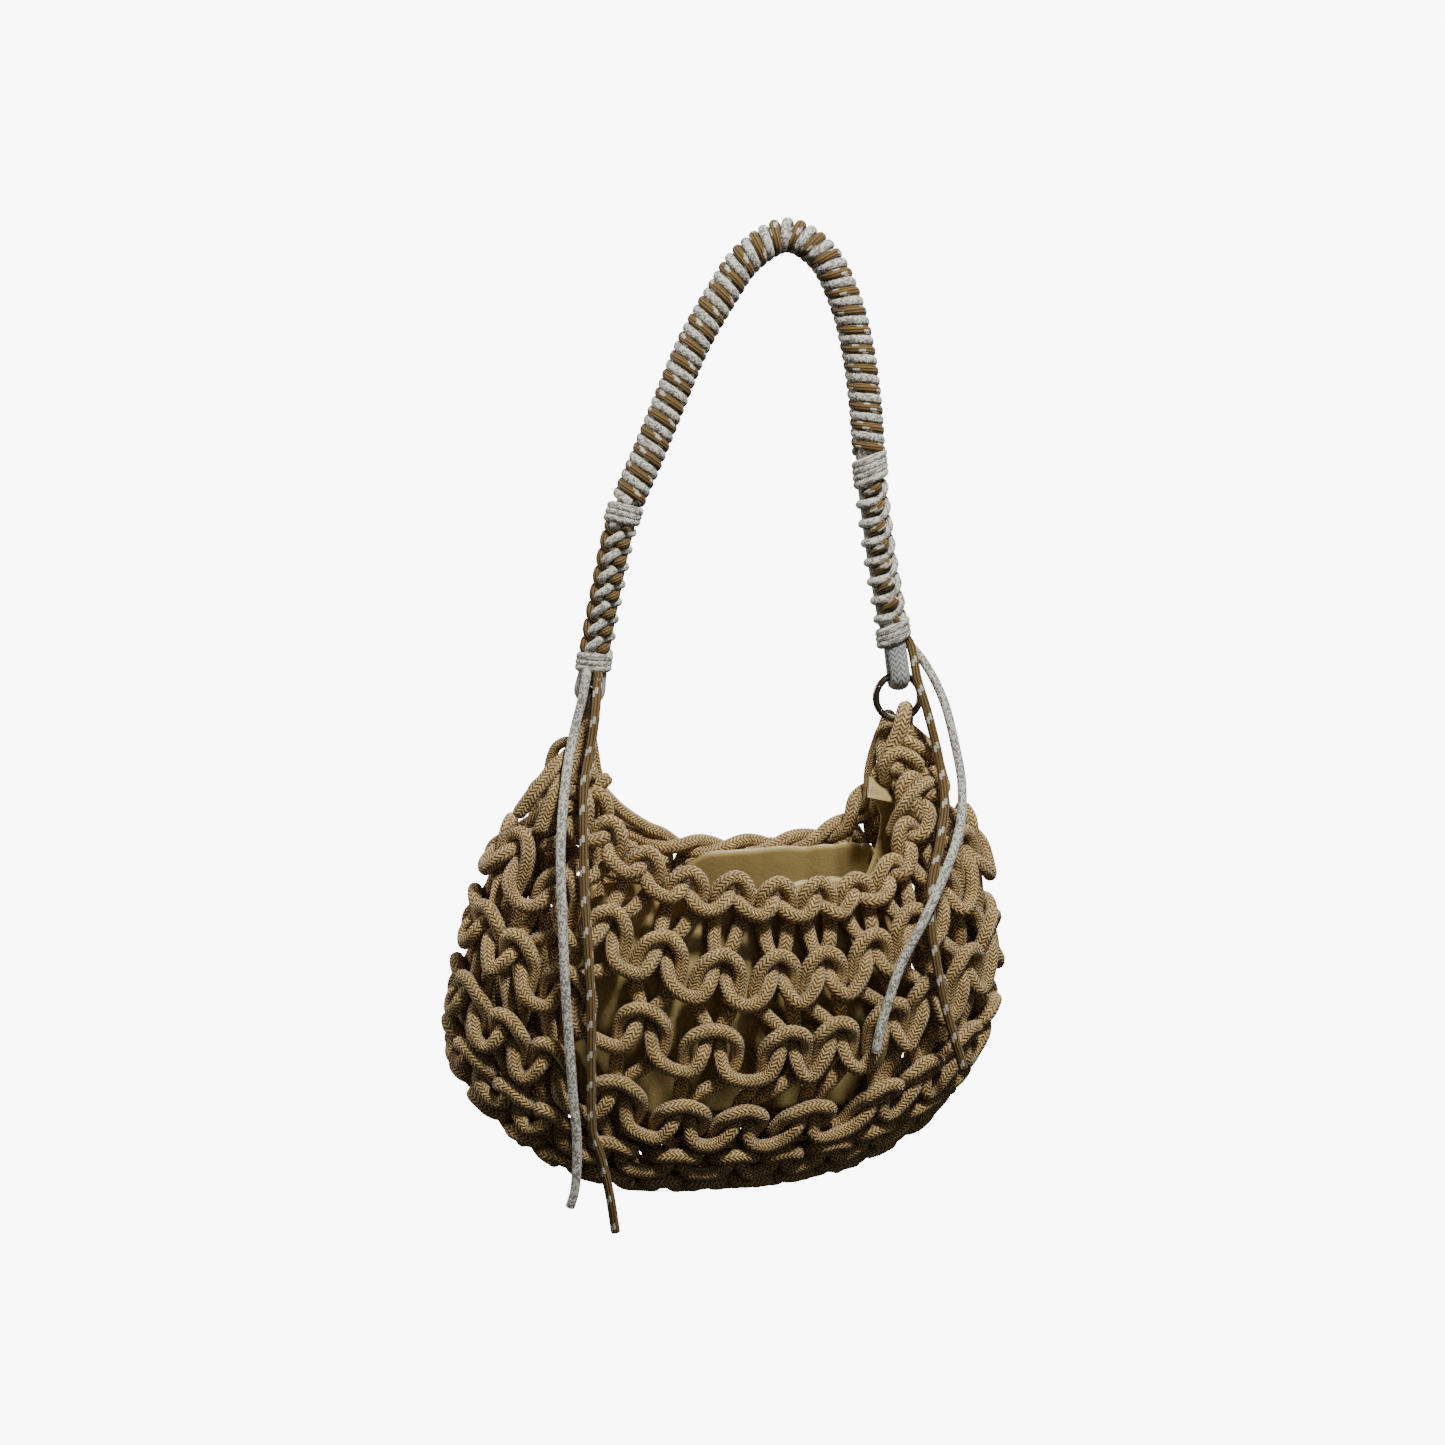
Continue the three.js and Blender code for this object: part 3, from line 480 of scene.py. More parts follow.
# The rim's own strand has a hump behind each upper loop of the rim row: how high, how far along,
# and how far behind, as a share of BEHIND, at the back and at the front. Beside the humps the
# strand lies this high.
HUMP_HIGH, HUMP_SHIFT = 0.12, -0.12
HUMP_BEHIND = (0.8, 1.9)
RIM_REACH = 0.1
# Loops that the photograph doesn't show: this many from the nearest seen one, this share of its
# offset is left
FADE, FADED = 4, 0.4
SEED = 11
STATION = 3.4 * MM  # between two points of a crocheted rope
SOFT_GAP = 0.86  # how near to each other the middles of two soft ropes come


def loop_tops(sizes, rng):
    """Where each row's upper loops lie, in stitches round it, and how far each is moved down."""
    count = sizes.stitches
    index = np.arange(FIRST_SEEN, FIRST_SEEN + count)
    places = []
    for row in ROWS:
        seen = row["tops"]
        last, again = FIRST_SEEN + len(seen) - 1, FIRST_SEEN + count
        knots = [*range(FIRST_SEEN, last + 1), last + FADE, again - FADE, again]
        offsets = [*seen, seen[-1] * FADED, seen[0] * FADED, seen[0]]
        jitter = rng.uniform(-ALONG_JITTER, ALONG_JITTER, count) * (index > last)
        along = index + np.interp(index, knots, offsets) + jitter
        down = rng.uniform(-DOWN_JITTER, DOWN_JITTER, count)
        places.append(np.stack([along, down], 1))
    return places


def front_tilt(stitches, count):
    """How far a loop at the front is moved down, in rows."""
    turn = 2 * math.pi * np.asarray(stitches) / count
    return TILT * max(-math.sin(turn), 0) * math.sin(2 * turn + TILT_TURN)


def wave(wall, tops, index, rng):
    """The rope of one row as a closed line off the wall. Row -1 is the rim's own strand.

    Each of its points is a place along the row, a level in rows and a distance off the wall."""
    sizes = wall.sizes
    count = sizes.stitches
    lower = tops[index + 1]
    upper = tops[index] if index >= 0 else lower
    low = ROWS[index + 1]["low"]
    high_below = ROWS[index + 1]["high"]
    high = ROWS[index]["high"]
    front, behind = IN_FRONT * sizes.rope, BEHIND * sizes.rope
    places = []
    for i in range(count):
        middle, down = upper[i]
        spacing = (upper[(i + 1) % count][0] - upper[i - 1][0]) % count / 2
        wide = (LOOP_WIDE if index else RIM_LOOP_WIDE) * spacing ** 0.7 * rng.uniform(*LOOP_SPREAD)
        below, below_down = lower[i]
        beyond = lower[(i + 1) % count][0] + (count if i == count - 1 else 0)
        tilt, tilt_below = front_tilt(middle, count), front_tilt(below, count)
        level, next_level = index + down + tilt, index + 1 + below_down + tilt_below
        halves = []
        for side in (-1, 1):
            tuck = below + side * TUCK
            back = PAIR_DEPTH * sizes.rope * side
            reach = high_below if index >= 0 else RIM_REACH
            # Down behind the next row's upper loop, and out to the side of a lower loop in front
            ends = [
                (tuck, next_level - reach, behind - back),
                (tuck, next_level - 0.35 * reach, 0.4 * behind - back),
                (below + side * 0.17, next_level + 0.25 * low, 0.5 * front - back),
                (below + side * 0.30, next_level + 0.80 * low, 0.95 * front),
            ]
            if index < 0:
                # Up towards the hump
                rise = (below + side * 0.2, next_level - reach - 0.02, 1.5 * behind)
                halves.append([rise, *ends])
                continue
            # The loop's shoulder in front, its side, its foot behind, and half-way to the next row
            foot = middle + side * wide
            halves.append([
                (middle + side * 0.8 * wide, level - 0.66 * high, 0.85 * front),
                (middle + side * 1.1 * wide, level + 0.02, -0.1 * sizes.rope),
                (foot, level + 0.9 * ROWS[index]["low"], behind),
                (0.5 * (foot + tuck), 0.5 * (level + next_level) + 0.03, 0.9 * behind),
                *ends,
            ])
        top = (middle, level - high, front)
        if index < 0:
            far = HUMP_BEHIND[int(below > count / 2)]
            top = (below + HUMP_SHIFT, next_level - HUMP_HIGH, far * behind)
        sag = front_tilt(below + 0.5, count) + rng.uniform(-BELLY_JITTER, BELLY_JITTER)
        belly = (0.5 * (below + beyond), index + 1 + low + sag, front)
        places += [*reversed(halves[0]), top, *halves[1], belly]
    stitches, rows, out = np.array(places).T
    return smooth_line(wall.off(stitches, rows, out), 4, closed=True)


# How ropes push each other apart. Others are looked for this many gaps round a point, its own rope
# is left out this many gaps along it, and each step takes up this share of what is too near.
SEARCH, OWN_REACH, PUSH = 1.4, 2.2, 0.22


def pushed_apart(lines, closed, gap, station, bundles, rounds=4, steps=6):
    """The lines of soft ropes, moved until few points lie nearer to another rope than gap.

    Ropes of one bundle stay as they lie to each other."""
    sizes = [len(line) for line in lines]
    points = np.concatenate(lines)
    owner = np.repeat(np.arange(len(lines)), sizes)
    order = np.concatenate([np.arange(size) for size in sizes])
    starts = np.cumsum([0, *sizes])
    near = int(OWN_REACH * gap / station) + 1
    moved = np.zeros_like(points)
    bundle = np.array(bundles)
    for _ in range(rounds):
        now = points + moved
        tree = KDTree(len(now))
        for i, point in enumerate(now):
            tree.insert(point, i)
        tree.balance()
        pairs = []
        for i, point in enumerate(now):
            for _, j, _ in tree.find_range(point, SEARCH * gap):
                if j > i:
                    pairs.append((i, j))
        i, j = np.array(pairs).T
        apart = np.abs(order[i] - order[j])
        size = np.array(sizes)[owner[i]]
        apart = np.where(np.array(closed)[owner[i]], np.minimum(apart, size - apart), apart)
        other = np.where(owner[i] == owner[j], apart > near, bundle[owner[i]] != bundle[owner[j]])
        i, j = i[other], j[other]
        for _ in range(steps):
            now = points + moved
            between = now[i] - now[j]
            distance = np.maximum(np.linalg.norm(between, axis=1, keepdims=True), 1e-6)
            push = between / distance * np.clip(gap - distance, 0, None) * PUSH
            np.add.at(moved, i, push)
            np.add.at(moved, j, -push)
            for k, start in enumerate(starts[:-1]):
                part = moved[start:starts[k + 1]]
                if closed[k]:
                    part[:] = 0.25 * np.roll(part, 1, 0) + 0.5 * part + 0.25 * np.roll(part, -1, 0)
                else:
                    part[1:-1] = 0.25 * part[:-2] + 0.5 * part[1:-1] + 0.25 * part[2:]
    now = points + moved
    return [now[start:end] for start, end in zip(starts[:-1], starts[1:])]


# Rim's edge, as in the part's source
RIM_TOP, RIM_TOP_EAR = -0.2, -0.06
RIM_EDGE, RIM_EDGE_EAR = 13 * MM, 10 * MM
RIM_SEAT = 0.9 * MM
RIM_LIFT = 7.5 * MM
# How far the twist lies below that edge between the ears, how far inside it, and how much wider
# its ropes lie where they run side by side
RIM_SAG, RIM_IN, RIM_APART = 3.5 * MM, 1.5 * MM, 1.5 * MM
# How much of a rope's diameter its middle lies inside the edge's radius, and how flat the twist is
RIM_LAP, RIM_FLAT = 0.25, 0.9
# How often the two ropes have turned about each other, from the right end round by the back to
# the left end, and where they run side by side
RIM_TWIST = ((-0.02, 0), (0.35, 3.5), (0.47, 3.6), (0.52, 4.1))
RIM_BESIDE = ((0.33, 0), (0.38, 1), (0.44, 1), (0.49, 0))
RIM_POINTS = 130
# The twist along the bottom: where it runs as shares of the bottom's length, and how far it hangs
# below the wall and reaches from its middle, in rope diameters
BOTTOM_ENDS = (0.02, 0.98)
BOTTOM_TURNS, BOTTOM_POINTS = 9, 90
BOTTOM_SAG, BOTTOM_ARM = 0.1, 0.45


def towards_ear(turn):
    return np.abs(np.cos(2 * math.pi * turn)) ** 12


def rim_edge_line(wall, turn):
    """The middle of the rim's edge, the directions up and out there, and the edge's radius."""
    ear = towards_ear(turn)
    row = RIM_TOP + (RIM_TOP_EAR - RIM_TOP) * ear
    normal = wall.normal(turn, row)
    along = norm(wall.point(turn + NEAR_TURN, row) - wall.point(turn - NEAR_TURN, row))
    up = np.cross(normal, along)
    radius = (RIM_EDGE + (RIM_EDGE_EAR - RIM_EDGE) * ear) / 2
    middle = wall.point(turn, row) + up * (radius + RIM_SEAT + RIM_LIFT * ear)[:, None]
    return middle, up, normal, radius


def rim_strands(wall):
    """Two ropes twisted round each other along the back of the mouth."""
    turn = np.linspace(RIM_TWIST[0][0], RIM_TWIST[-1][0], RIM_POINTS)
    middle, up, normal, radius = rim_edge_line(wall, turn)
    middle = middle - normal * RIM_IN - up * (1 - towards_ear(turn))[:, None] * RIM_SAG
    beside = np.interp(turn, *zip(*RIM_BESIDE))
    arm = (radius - RIM_LAP * wall.sizes.rope + RIM_APART * beside)[:, None]
    lines = []
    for start in (0, math.pi):
        angle = (start - 2 * math.pi * np.interp(turn, *zip(*RIM_TWIST)))[:, None]
        lines.append(middle + arm * (np.cos(angle) * up * RIM_FLAT + np.sin(angle) * normal))
    return lines


def bottom_strands(wall):
    """Two ropes twisted round each other along the bottom, which join the front and the back."""
    share = np.linspace(*BOTTOM_ENDS, BOTTOM_POINTS)
    level = np.full(BOTTOM_POINTS, float(LAST_ROW))
    front = wall.point(0.5 + 0.5 * share, level)
    back = wall.point(0.5 - 0.5 * share, level)
    middle = 0.5 * (front + back) - np.array([0, 0, BOTTOM_SAG * wall.sizes.rope])
    lines = []
    for start in (0, math.pi):
        angle = 2 * math.pi * BOTTOM_TURNS * share + start
        arm = np.stack([np.zeros(BOTTOM_POINTS), np.cos(angle), np.sin(angle)], 1)
        lines.append(middle + BOTTOM_ARM * wall.sizes.rope * arm)
    return lines


# Strap

FRONT = np.array([0.0, -1.0, 0.0])


class StrapLine:
    """The strap's middle line, from the left ring over the hanging point to the right ring."""

    def __init__(self, sizes):
        left_drop, right_drop = sizes.drop + sizes.tilt, sizes.drop - sizes.tilt
        left = [(-x * sizes.span_left, 0, -z * left_drop) for x, z in reversed(STRAP_LEFT)]
        right = [(x * sizes.span_right, 0, -z * right_drop) for x, z in STRAP_RIGHT]
        self.points = smooth_line([*left, (0, 0, sizes.strap / 2), *right], 60)
        self.along = lengths_along(self.points)
        self.length = self.along[-1]

    def at(self, distance):
        """Points, tangents, and the side vectors that lie across the strap in its plane."""
        distance = np.asarray(distance, float)
        tangents = norm(np.gradient(self.points, axis=0))
        middle, tangent = (
            np.stack([np.interp(distance, self.along, values[:, axis]) for axis in range(3)], -1)
            for values in (self.points, tangents))
        tangent = norm(tangent)
        return middle, tangent, norm(np.cross(tangent, FRONT))

    def marks(self, side):
        """Where each stretch of one end starts and ends, from the ring's centre upwards."""
        parts = STRAP_ENDS[side]
        marks = np.cumsum([parts["loop"], parts["lower"], parts["braid"], parts["upper"]])
        return marks if side == "left" else self.length - marks

    def wound(self, start, end, arm, turns, phase=0.0, skew=0.0, steps=22):
        """A line wound round the strap, and the vectors that point out from its middle."""
        count = max(int(abs(turns) * steps), 8)
        share = np.linspace(0, 1, count + 1)
        angle = (2 * math.pi * turns * share + phase)[:, None]
        along = start + (end - start) * share + skew * np.sin(angle[:, 0])
        middle, _, side = self.at(along)
        out = np.cos(angle) * FRONT + np.sin(angle) * side
        return middle + arm * out, out


# Materials

def group_sockets(name, inputs, outputs):
    """A new shader node group with its sockets, and its input and output nodes."""
    group = bpy.data.node_groups.new(name, "ShaderNodeTree")
    for label, kind, value in inputs:
        socket = group.interface.new_socket(label, in_out="INPUT", socket_type=kind)
        if value is not None:
            socket.default_value = value
    for label, kind in outputs:
        group.interface.new_socket(label, in_out="OUTPUT", socket_type=kind)
    return group, group.nodes.new("NodeGroupInput"), group.nodes.new("NodeGroupOutput")


class Graph:
    """Short calls that add nodes to a tree and link them."""

    def __init__(self, tree):
        self.tree = tree

    def node(self, kind, **options):
        node = self.tree.nodes.new(kind)
        for name, value in options.items():
            setattr(node, name, value)
        return node

    def link(self, source, target):
        self.tree.links.new(source, target)

    def feed(self, socket, value):
        if isinstance(value, (int, float, tuple)):
            socket.default_value = value
        else:
            self.link(value, socket)

    def math(self, operation, first, second=None):
        node = self.node("ShaderNodeMath", operation=operation)
        for socket, value in zip(node.inputs, (first, second)):
            if value is not None:
                self.feed(socket, value)
        return node.outputs[0]

    def mix(self, share, first, second):
        node = self.node("ShaderNodeMix", data_type="RGBA")
        self.feed(node.inputs["Factor"], share)
        self.feed(node.inputs[6], first)
        self.feed(node.inputs[7], second)
        return node.outputs[2]

    def scaled(self, value, factor, shift):
        """The value times factor, plus shift."""
        return self.math("ADD", self.math("MULTIPLY", value, factor), shift)

    def varied(self, base, value, amount):
        """The base, moved up and down by a value that runs from 0 to 1."""
        change = self.math("MULTIPLY", self.math("SUBTRACT", value, 0.5), amount)
        return self.math("ADD", base, change)

    def ridges(self, value):
        """One rounded ridge for each whole step of the value."""
        return self.math("ABSOLUTE", self.math("SINE", self.math("MULTIPLY", value, math.pi)))

    def softened(self, value, power):
        return self.math("POWER", self.math("MAXIMUM", value, 0.001), power)

    def noise(self, scale, detail):
        node = self.node("ShaderNodeTexNoise")
        node.inputs["Scale"].default_value = scale
        node.inputs["Detail"].default_value = detail
        where = self.node("ShaderNodeTexCoord").outputs["Object"]
        self.link(where, node.inputs["Vector"])
        return node.outputs["Fac"]

    def place(self, node_group, **values):
        node = self.node("ShaderNodeGroup", node_tree=node_group)
        for name, value in values.items():
            self.feed(node.inputs[name.replace("_", " ")], value)
        return node


def braid_group():
    """The braided cover of a rope: V-shaped ribs of yarn in columns round it."""
    group, given, made = group_sockets(
        "Braided cover",
        [("UV", "NodeSocketVector", None), ("Columns", "NodeSocketFloat", 12.0),
         ("Ribs", "NodeSocketFloat", 12.0), ("Slant", "NodeSocketFloat", 1.0)],
        [("Height", "NodeSocketFloat"), ("Yarn", "NodeSocketFloat")])
    g = Graph(group)
    split = g.node("ShaderNodeSeparateXYZ")
    g.link(given.outputs["UV"], split.inputs[0])
    column = g.math("MULTIPLY", split.outputs["X"], given.outputs["Columns"])
    slope = g.math("MULTIPLY", g.math("PINGPONG", column, 1.0), given.outputs["Slant"])
    rib = g.scaled(split.outputs["Y"], given.outputs["Ribs"], slope)
    hollow = g.scaled(g.softened(g.ridges(column), 0.4), 0.4, 0.6)
    g.link(g.math("MULTIPLY", g.softened(g.ridges(rib), 0.7), hollow), made.inputs["Height"])
    cell = g.node("ShaderNodeCombineXYZ")
    g.link(g.math("FLOOR", column), cell.inputs[0])
    g.link(g.math("FLOOR", rib), cell.inputs[1])
    random = g.node("ShaderNodeTexWhiteNoise", noise_dimensions="2D")
    g.link(cell.outputs[0], random.inputs["Vector"])
    g.link(random.outputs["Value"], made.inputs["Yarn"])
    return group


def ribbed_group():
    """The brown cord's cover: lengthwise ribs, fine weft, and pairs of slanted flecks."""
    group, given, made = group_sockets(
        "Ribbed cover",
        [("UV", "NodeSocketVector", None), ("Ribs", "NodeSocketFloat", 9.0),
         ("Weft", "NodeSocketFloat", 26.0), ("Fleck spacing", "NodeSocketFloat", 1.0)],
        [("Height", "NodeSocketFloat"), ("Fleck", "NodeSocketFloat")])
    g = Graph(group)
    split = g.node("ShaderNodeSeparateXYZ")
    g.link(given.outputs["UV"], split.inputs[0])
    around = g.math("MULTIPLY", split.outputs["X"], given.outputs["Ribs"])
    slope = g.math("MULTIPLY", g.math("PINGPONG", around, 0.5), 1.2)
    weft = g.ridges(g.scaled(split.outputs["Y"], given.outputs["Weft"], slope))
    height = g.math("MULTIPLY", g.softened(g.ridges(around), 0.6), g.scaled(weft, 0.25, 0.75))
    g.link(height, made.inputs["Height"])
    # Short flecks along two ribs of each three, each a little further on than its neighbour
    further, half_length = 0.11, 0.11
    along = g.math("DIVIDE", split.outputs["Y"], given.outputs["Fleck spacing"])
    which = g.math("FLOOR", around)
    share = g.math("FRACT", g.math("SUBTRACT", along, g.math("MULTIPLY", which, further)))
    middle = g.math("ABSOLUTE", g.math("SUBTRACT", share, 0.5))
    dash = g.math("LESS_THAN", middle, half_length)
    shown = g.math("LESS_THAN", g.math("MODULO", which, 3.0), 1.5)
    broken = g.math("GREATER_THAN", weft, 0.25)
    g.link(g.math("MULTIPLY", g.math("MULTIPLY", dash, shown), broken), made.inputs["Fleck"])
    return group


def new_material(name, roughness):
    material = bpy.data.materials.new(name)
    material.use_nodes = True
    shader = material.node_tree.nodes["Principled BSDF"]
    shader.inputs["Roughness"].default_value = roughness
    return material, Graph(material.node_tree), shader


def bumped(g, shader, height, distance, strength=1.0):
    bump = g.node("ShaderNodeBump")
    bump.inputs["Distance"].default_value = distance
    bump.inputs["Strength"].default_value = strength
    g.link(height, bump.inputs["Height"])
    g.link(bump.outputs["Normal"], shader.inputs["Normal"])


def rope_uv(g):
    return g.node("ShaderNodeUVMap", uv_map="rope").outputs["UV"]


def colour(value):
    return (*value, 1.0)


class Finishes:
    """The bag's materials, each made once."""

    def __init__(self, colours):
        self.colours = colours
        self.braid = braid_group()
        self.ribbed = ribbed_group()
        self.rope = self.braided(
            "tan_rope", colours.rope_yarn_and_highlight, colours.rope_painted_shade, columns=10, ribs=12, depth=0.9 * MM)
        self.white = self.flecked()
        self.brown = self.brown_cord()
        # The core rope's dark colour, 0.4 of its own, is painted shade between its yarns
        self.core = self.braided(
            "core_rope", colours.core, [0.4 * c for c in colours.core],
            columns=14, ribs=9, depth=0.4 * MM)
        self.metal = self.burnished()
        self.pouch = self.sheet()

    def braided(self, name, light, dark, columns, ribs, depth):
        material, g, shader = new_material(name, 0.85)
        cover = g.place(
            self.braid, UV=rope_uv(g), Columns=float(columns), Ribs=float(ribs), Slant=1.0)
        fibres = g.noise(900.0, 4.0)
        # Random lighter and darker patches across the rope
        tone_patches = g.noise(28.0, 3.0)
        # From the dark colour between the yarns to the light one on the raised yarns: painted
        # shade, and on the tan rope also a painted highlight
        tone = g.scaled(cover.outputs["Height"], 1.7, -0.8)
        for value, amount in ((fibres, 0.7), (cover.outputs["Yarn"], 0.4), (tone_patches, 0.5)):
            tone = g.varied(tone, value, amount)
        g.link(g.mix(tone, colour(dark), colour(light)), shader.inputs["Base Color"])
        bumped(g, shader, g.scaled(fibres, 0.35, cover.outputs["Height"]), depth)
        shader.inputs["Sheen Weight"].default_value = 0.25
        shader.inputs["Sheen Roughness"].default_value = 0.5
        shader.inputs["Specular IOR Level"].default_value = 0.25
        return material

    def flecked(self):
        material, g, shader = new_material("white_cord", 0.8)
        cover = g.place(self.braid, UV=rope_uv(g), Columns=16.0, Ribs=15.0, Slant=0.8)
        fibres = g.noise(1400.0, 3.0)
        dark = g.math("LESS_THAN", cover.outputs["Yarn"], 0.4)
        ridge = cover.outputs["Height"]
        # Grey in the furrows between the raised yarns is painted shade; the grey flecks on random
        # yarns are the cord's own
        furrow_shade = g.math("SUBTRACT", 1.0, g.math("MULTIPLY", ridge, 1.3))
        grey_flecks_and_shade = g.math("MAXIMUM", g.math("MULTIPLY", dark, 0.75), furrow_shade)
        grey_flecks_and_shade = g.varied(grey_flecks_and_shade, fibres, 0.5)
        base = g.mix(grey_flecks_and_shade, colour(self.colours.white), colour(self.colours.grey_flecks_and_shade))
        g.link(base, shader.inputs["Base Color"])
        bumped(g, shader, g.scaled(fibres, 0.3, ridge), 0.2 * MM)
        shader.inputs["Sheen Weight"].default_value = 0.2
        shader.inputs["Specular IOR Level"].default_value = 0.3
        return material

    def brown_cord(self):
        material, g, shader = new_material("brown_cord", 0.75)
        cover = g.place(self.ribbed, UV=rope_uv(g), Ribs=9.0, Weft=24.0, Fleck_spacing=1.0)
        fibres = g.noise(1400.0, 3.0)
        # Darker between the ribs: painted shade over the cord's own brown
        tone = g.varied(g.scaled(cover.outputs["Height"], 1.8, -0.8), fibres, 0.6)
        base = g.mix(tone, colour(self.colours.brown_painted_shade), colour(self.colours.brown))
        fleck = g.math("MULTIPLY", cover.outputs["Fleck"], 0.65)
        g.link(g.mix(fleck, base, colour(self.colours.white)), shader.inputs["Base Color"])
        bumped(g, shader, g.scaled(fibres, 0.2, cover.outputs["Height"]), 0.35 * MM)
        shader.inputs["Sheen Weight"].default_value = 0.15
        shader.inputs["Specular IOR Level"].default_value = 0.35
        return material

    def burnished(self):
        material, g, shader = new_material("burnished_metal", 0.28)
        shader.inputs["Metallic"].default_value = 1.0
        wear = g.noise(260.0, 5.0)
        tarnish = g.noise(70.0, 2.0)
        dark, light = (colour([share * c for c in self.colours.metal]) for share in (0.35, 1.9))
        g.link(g.mix(tarnish, dark, light), shader.inputs["Base Color"])
        g.link(g.scaled(wear, 0.3, 0.12), shader.inputs["Roughness"])
        bumped(g, shader, wear, 0.05 * MM, 0.4)
        return material

    def sheet(self):
        material, g, shader = new_material("khaki_sheet", 0.5)
        cells = g.node("ShaderNodeTexVoronoi", feature="SMOOTH_F1")
        cells.inputs["Scale"].default_value = 900.0
        g.link(g.node("ShaderNodeTexCoord").outputs["Object"], cells.inputs["Vector"])
        blotches = g.noise(35.0, 4.0)
        creases = g.noise(90.0, 6.0)
        tone = g.scaled(blotches, 0.9, g.math("MULTIPLY", creases, 0.25))
        light = colour([min(1.25 * c, 1) for c in self.colours.pouch])
        dark = colour([0.55 * c for c in self.colours.pouch])
        g.link(g.mix(tone, dark, light), shader.inputs["Base Color"])
        g.link(g.scaled(creases, 0.3, 0.3), shader.inputs["Roughness"])
        height = g.scaled(cells.outputs["Distance"], 0.5, g.math("MULTIPLY", creases, 1.5))
        bumped(g, shader, height, 0.3 * MM)
        return material


FINISHES = {}


def finishes():
    """The materials, made when the first operator asks for them."""
    if "bag" not in FINISHES:
        FINISHES["bag"] = Finishes(bpy.context.scene.crochet_bag_colours)
    return FINISHES["bag"]


# Pieces

def soft_lines(lines, closed, gap, station, bundles):
    """The lines after the ropes have pushed each other apart, with smooth bends."""
    even = [resample(line, station, shut) for line, shut in zip(lines, closed)]
    moved = pushed_apart(even, closed, gap, station, bundles)
    return [smooth_line(line, 2, shut) for line, shut in zip(moved, closed)]


class BagOperator:
    """What the bag's operators share."""

    bl_options = {"REGISTER", "UNDO"}

    def execute(self, context):
        sizes = context.scene.crochet_bag_sizes
        if sizes is None:
            raise RuntimeError("the bag's sizes are missing")
        self.build(sizes)
        return {"FINISHED"}


class AddCamera(BagOperator, bpy.types.Operator):
    """Set the camera that took the photograph"""

    bl_idname = "crochet_bag.camera"
    bl_label = "Camera"

    def build(self, sizes):
        right = np.array([math.cos(CAMERA_AZIMUTH), math.sin(CAMERA_AZIMUTH), 0])
        back = np.array([
            math.sin(CAMERA_AZIMUTH) * math.cos(CAMERA_ELEVATION),
            -math.cos(CAMERA_AZIMUTH) * math.cos(CAMERA_ELEVATION),
            math.sin(CAMERA_ELEVATION),
        ])
        up = np.cross(back, right)
        across = HANG_PIXEL[0] - PHOTO_PIXELS / 2
        above = PHOTO_PIXELS / 2 - HANG_PIXEL[1]
        target = -(right * across + up * above) * PIXEL
        camera = bpy.data.objects.new("camera", bpy.data.cameras.new("camera"))
        bpy.context.scene.collection.objects.link(camera)
        camera.data.sensor_width = SENSOR
        camera.data.lens = SENSOR * CAMERA_DISTANCE / (PHOTO_PIXELS * PIXEL)
        camera.data.clip_start, camera.data.clip_end = CLIP
        camera.location = target + back * CAMERA_DISTANCE
        camera.rotation_euler = Vector(back).to_track_quat("Z", "Y").to_euler()
        bpy.context.scene.camera = camera


CORD_STEP = 2 * MM
# A cord's way out of its collar: how far up in the collar it starts, how far out towards the
# cord's first point, and how far on towards its second point it goes
LEAD_UP, LEAD_OUT, LEAD_ON = 4 * MM, 0.75, 0.2


class AddCordEnds(BagOperator, bpy.types.Operator):
    """Hang the four loose cord ends down the front"""

    bl_idname = "crochet_bag.cord_ends"
    bl_label = "Loose cord ends"

    def build(self, sizes):
        strap = StrapLine(sizes)
        for name, route in CORD_ENDS.items():
            line = resample(smooth_line(route, 12), CORD_STEP)
            shade, side = name.split("_")
            node = "cord_end_" + name
            strand = Strand(line, sizes.cord, sides=16, round_ends=False)
            piece = tube_object(node + "_cord", [strand], getattr(finishes(), shade))
            place(piece, "cord_" + shade, node)
            first, following = np.array(route[:2])
            collar, _, _ = strap.at(strap.marks(side)[:1] + LEAD_UP * (1 if side == "left" else -1))
            inside = collar[0] + LEAD_OUT * (first - collar[0]) * np.array([1, 1, 0])
            lead = smooth_line([inside, first, first + LEAD_ON * (following - first)], 6)
            lead = Strand(lead, sizes.cord, sides=16)
            place(tube_object("lead_" + name, [lead], getattr(finishes(), shade)), "cord_" + shade)


# Snap rings, as in the part's source
RING_WIRE = 3.9 * MM
RING_RADIUS = (29 * MM - RING_WIRE) / 2
GATE_FROM, GATE_TO = 150, 215
CLEARANCE = 0.3 * MM
RING_PLANES = {"left": (0, -1, 0), "right": (1, 0, 0)}  # which way a ring's own right points


def ring_centre(sizes, side):
    if side == "left":
        return np.array([-sizes.span_left, 0, -sizes.drop - sizes.tilt])
    return np.array([sizes.span_right, 0, -sizes.drop + sizes.tilt])


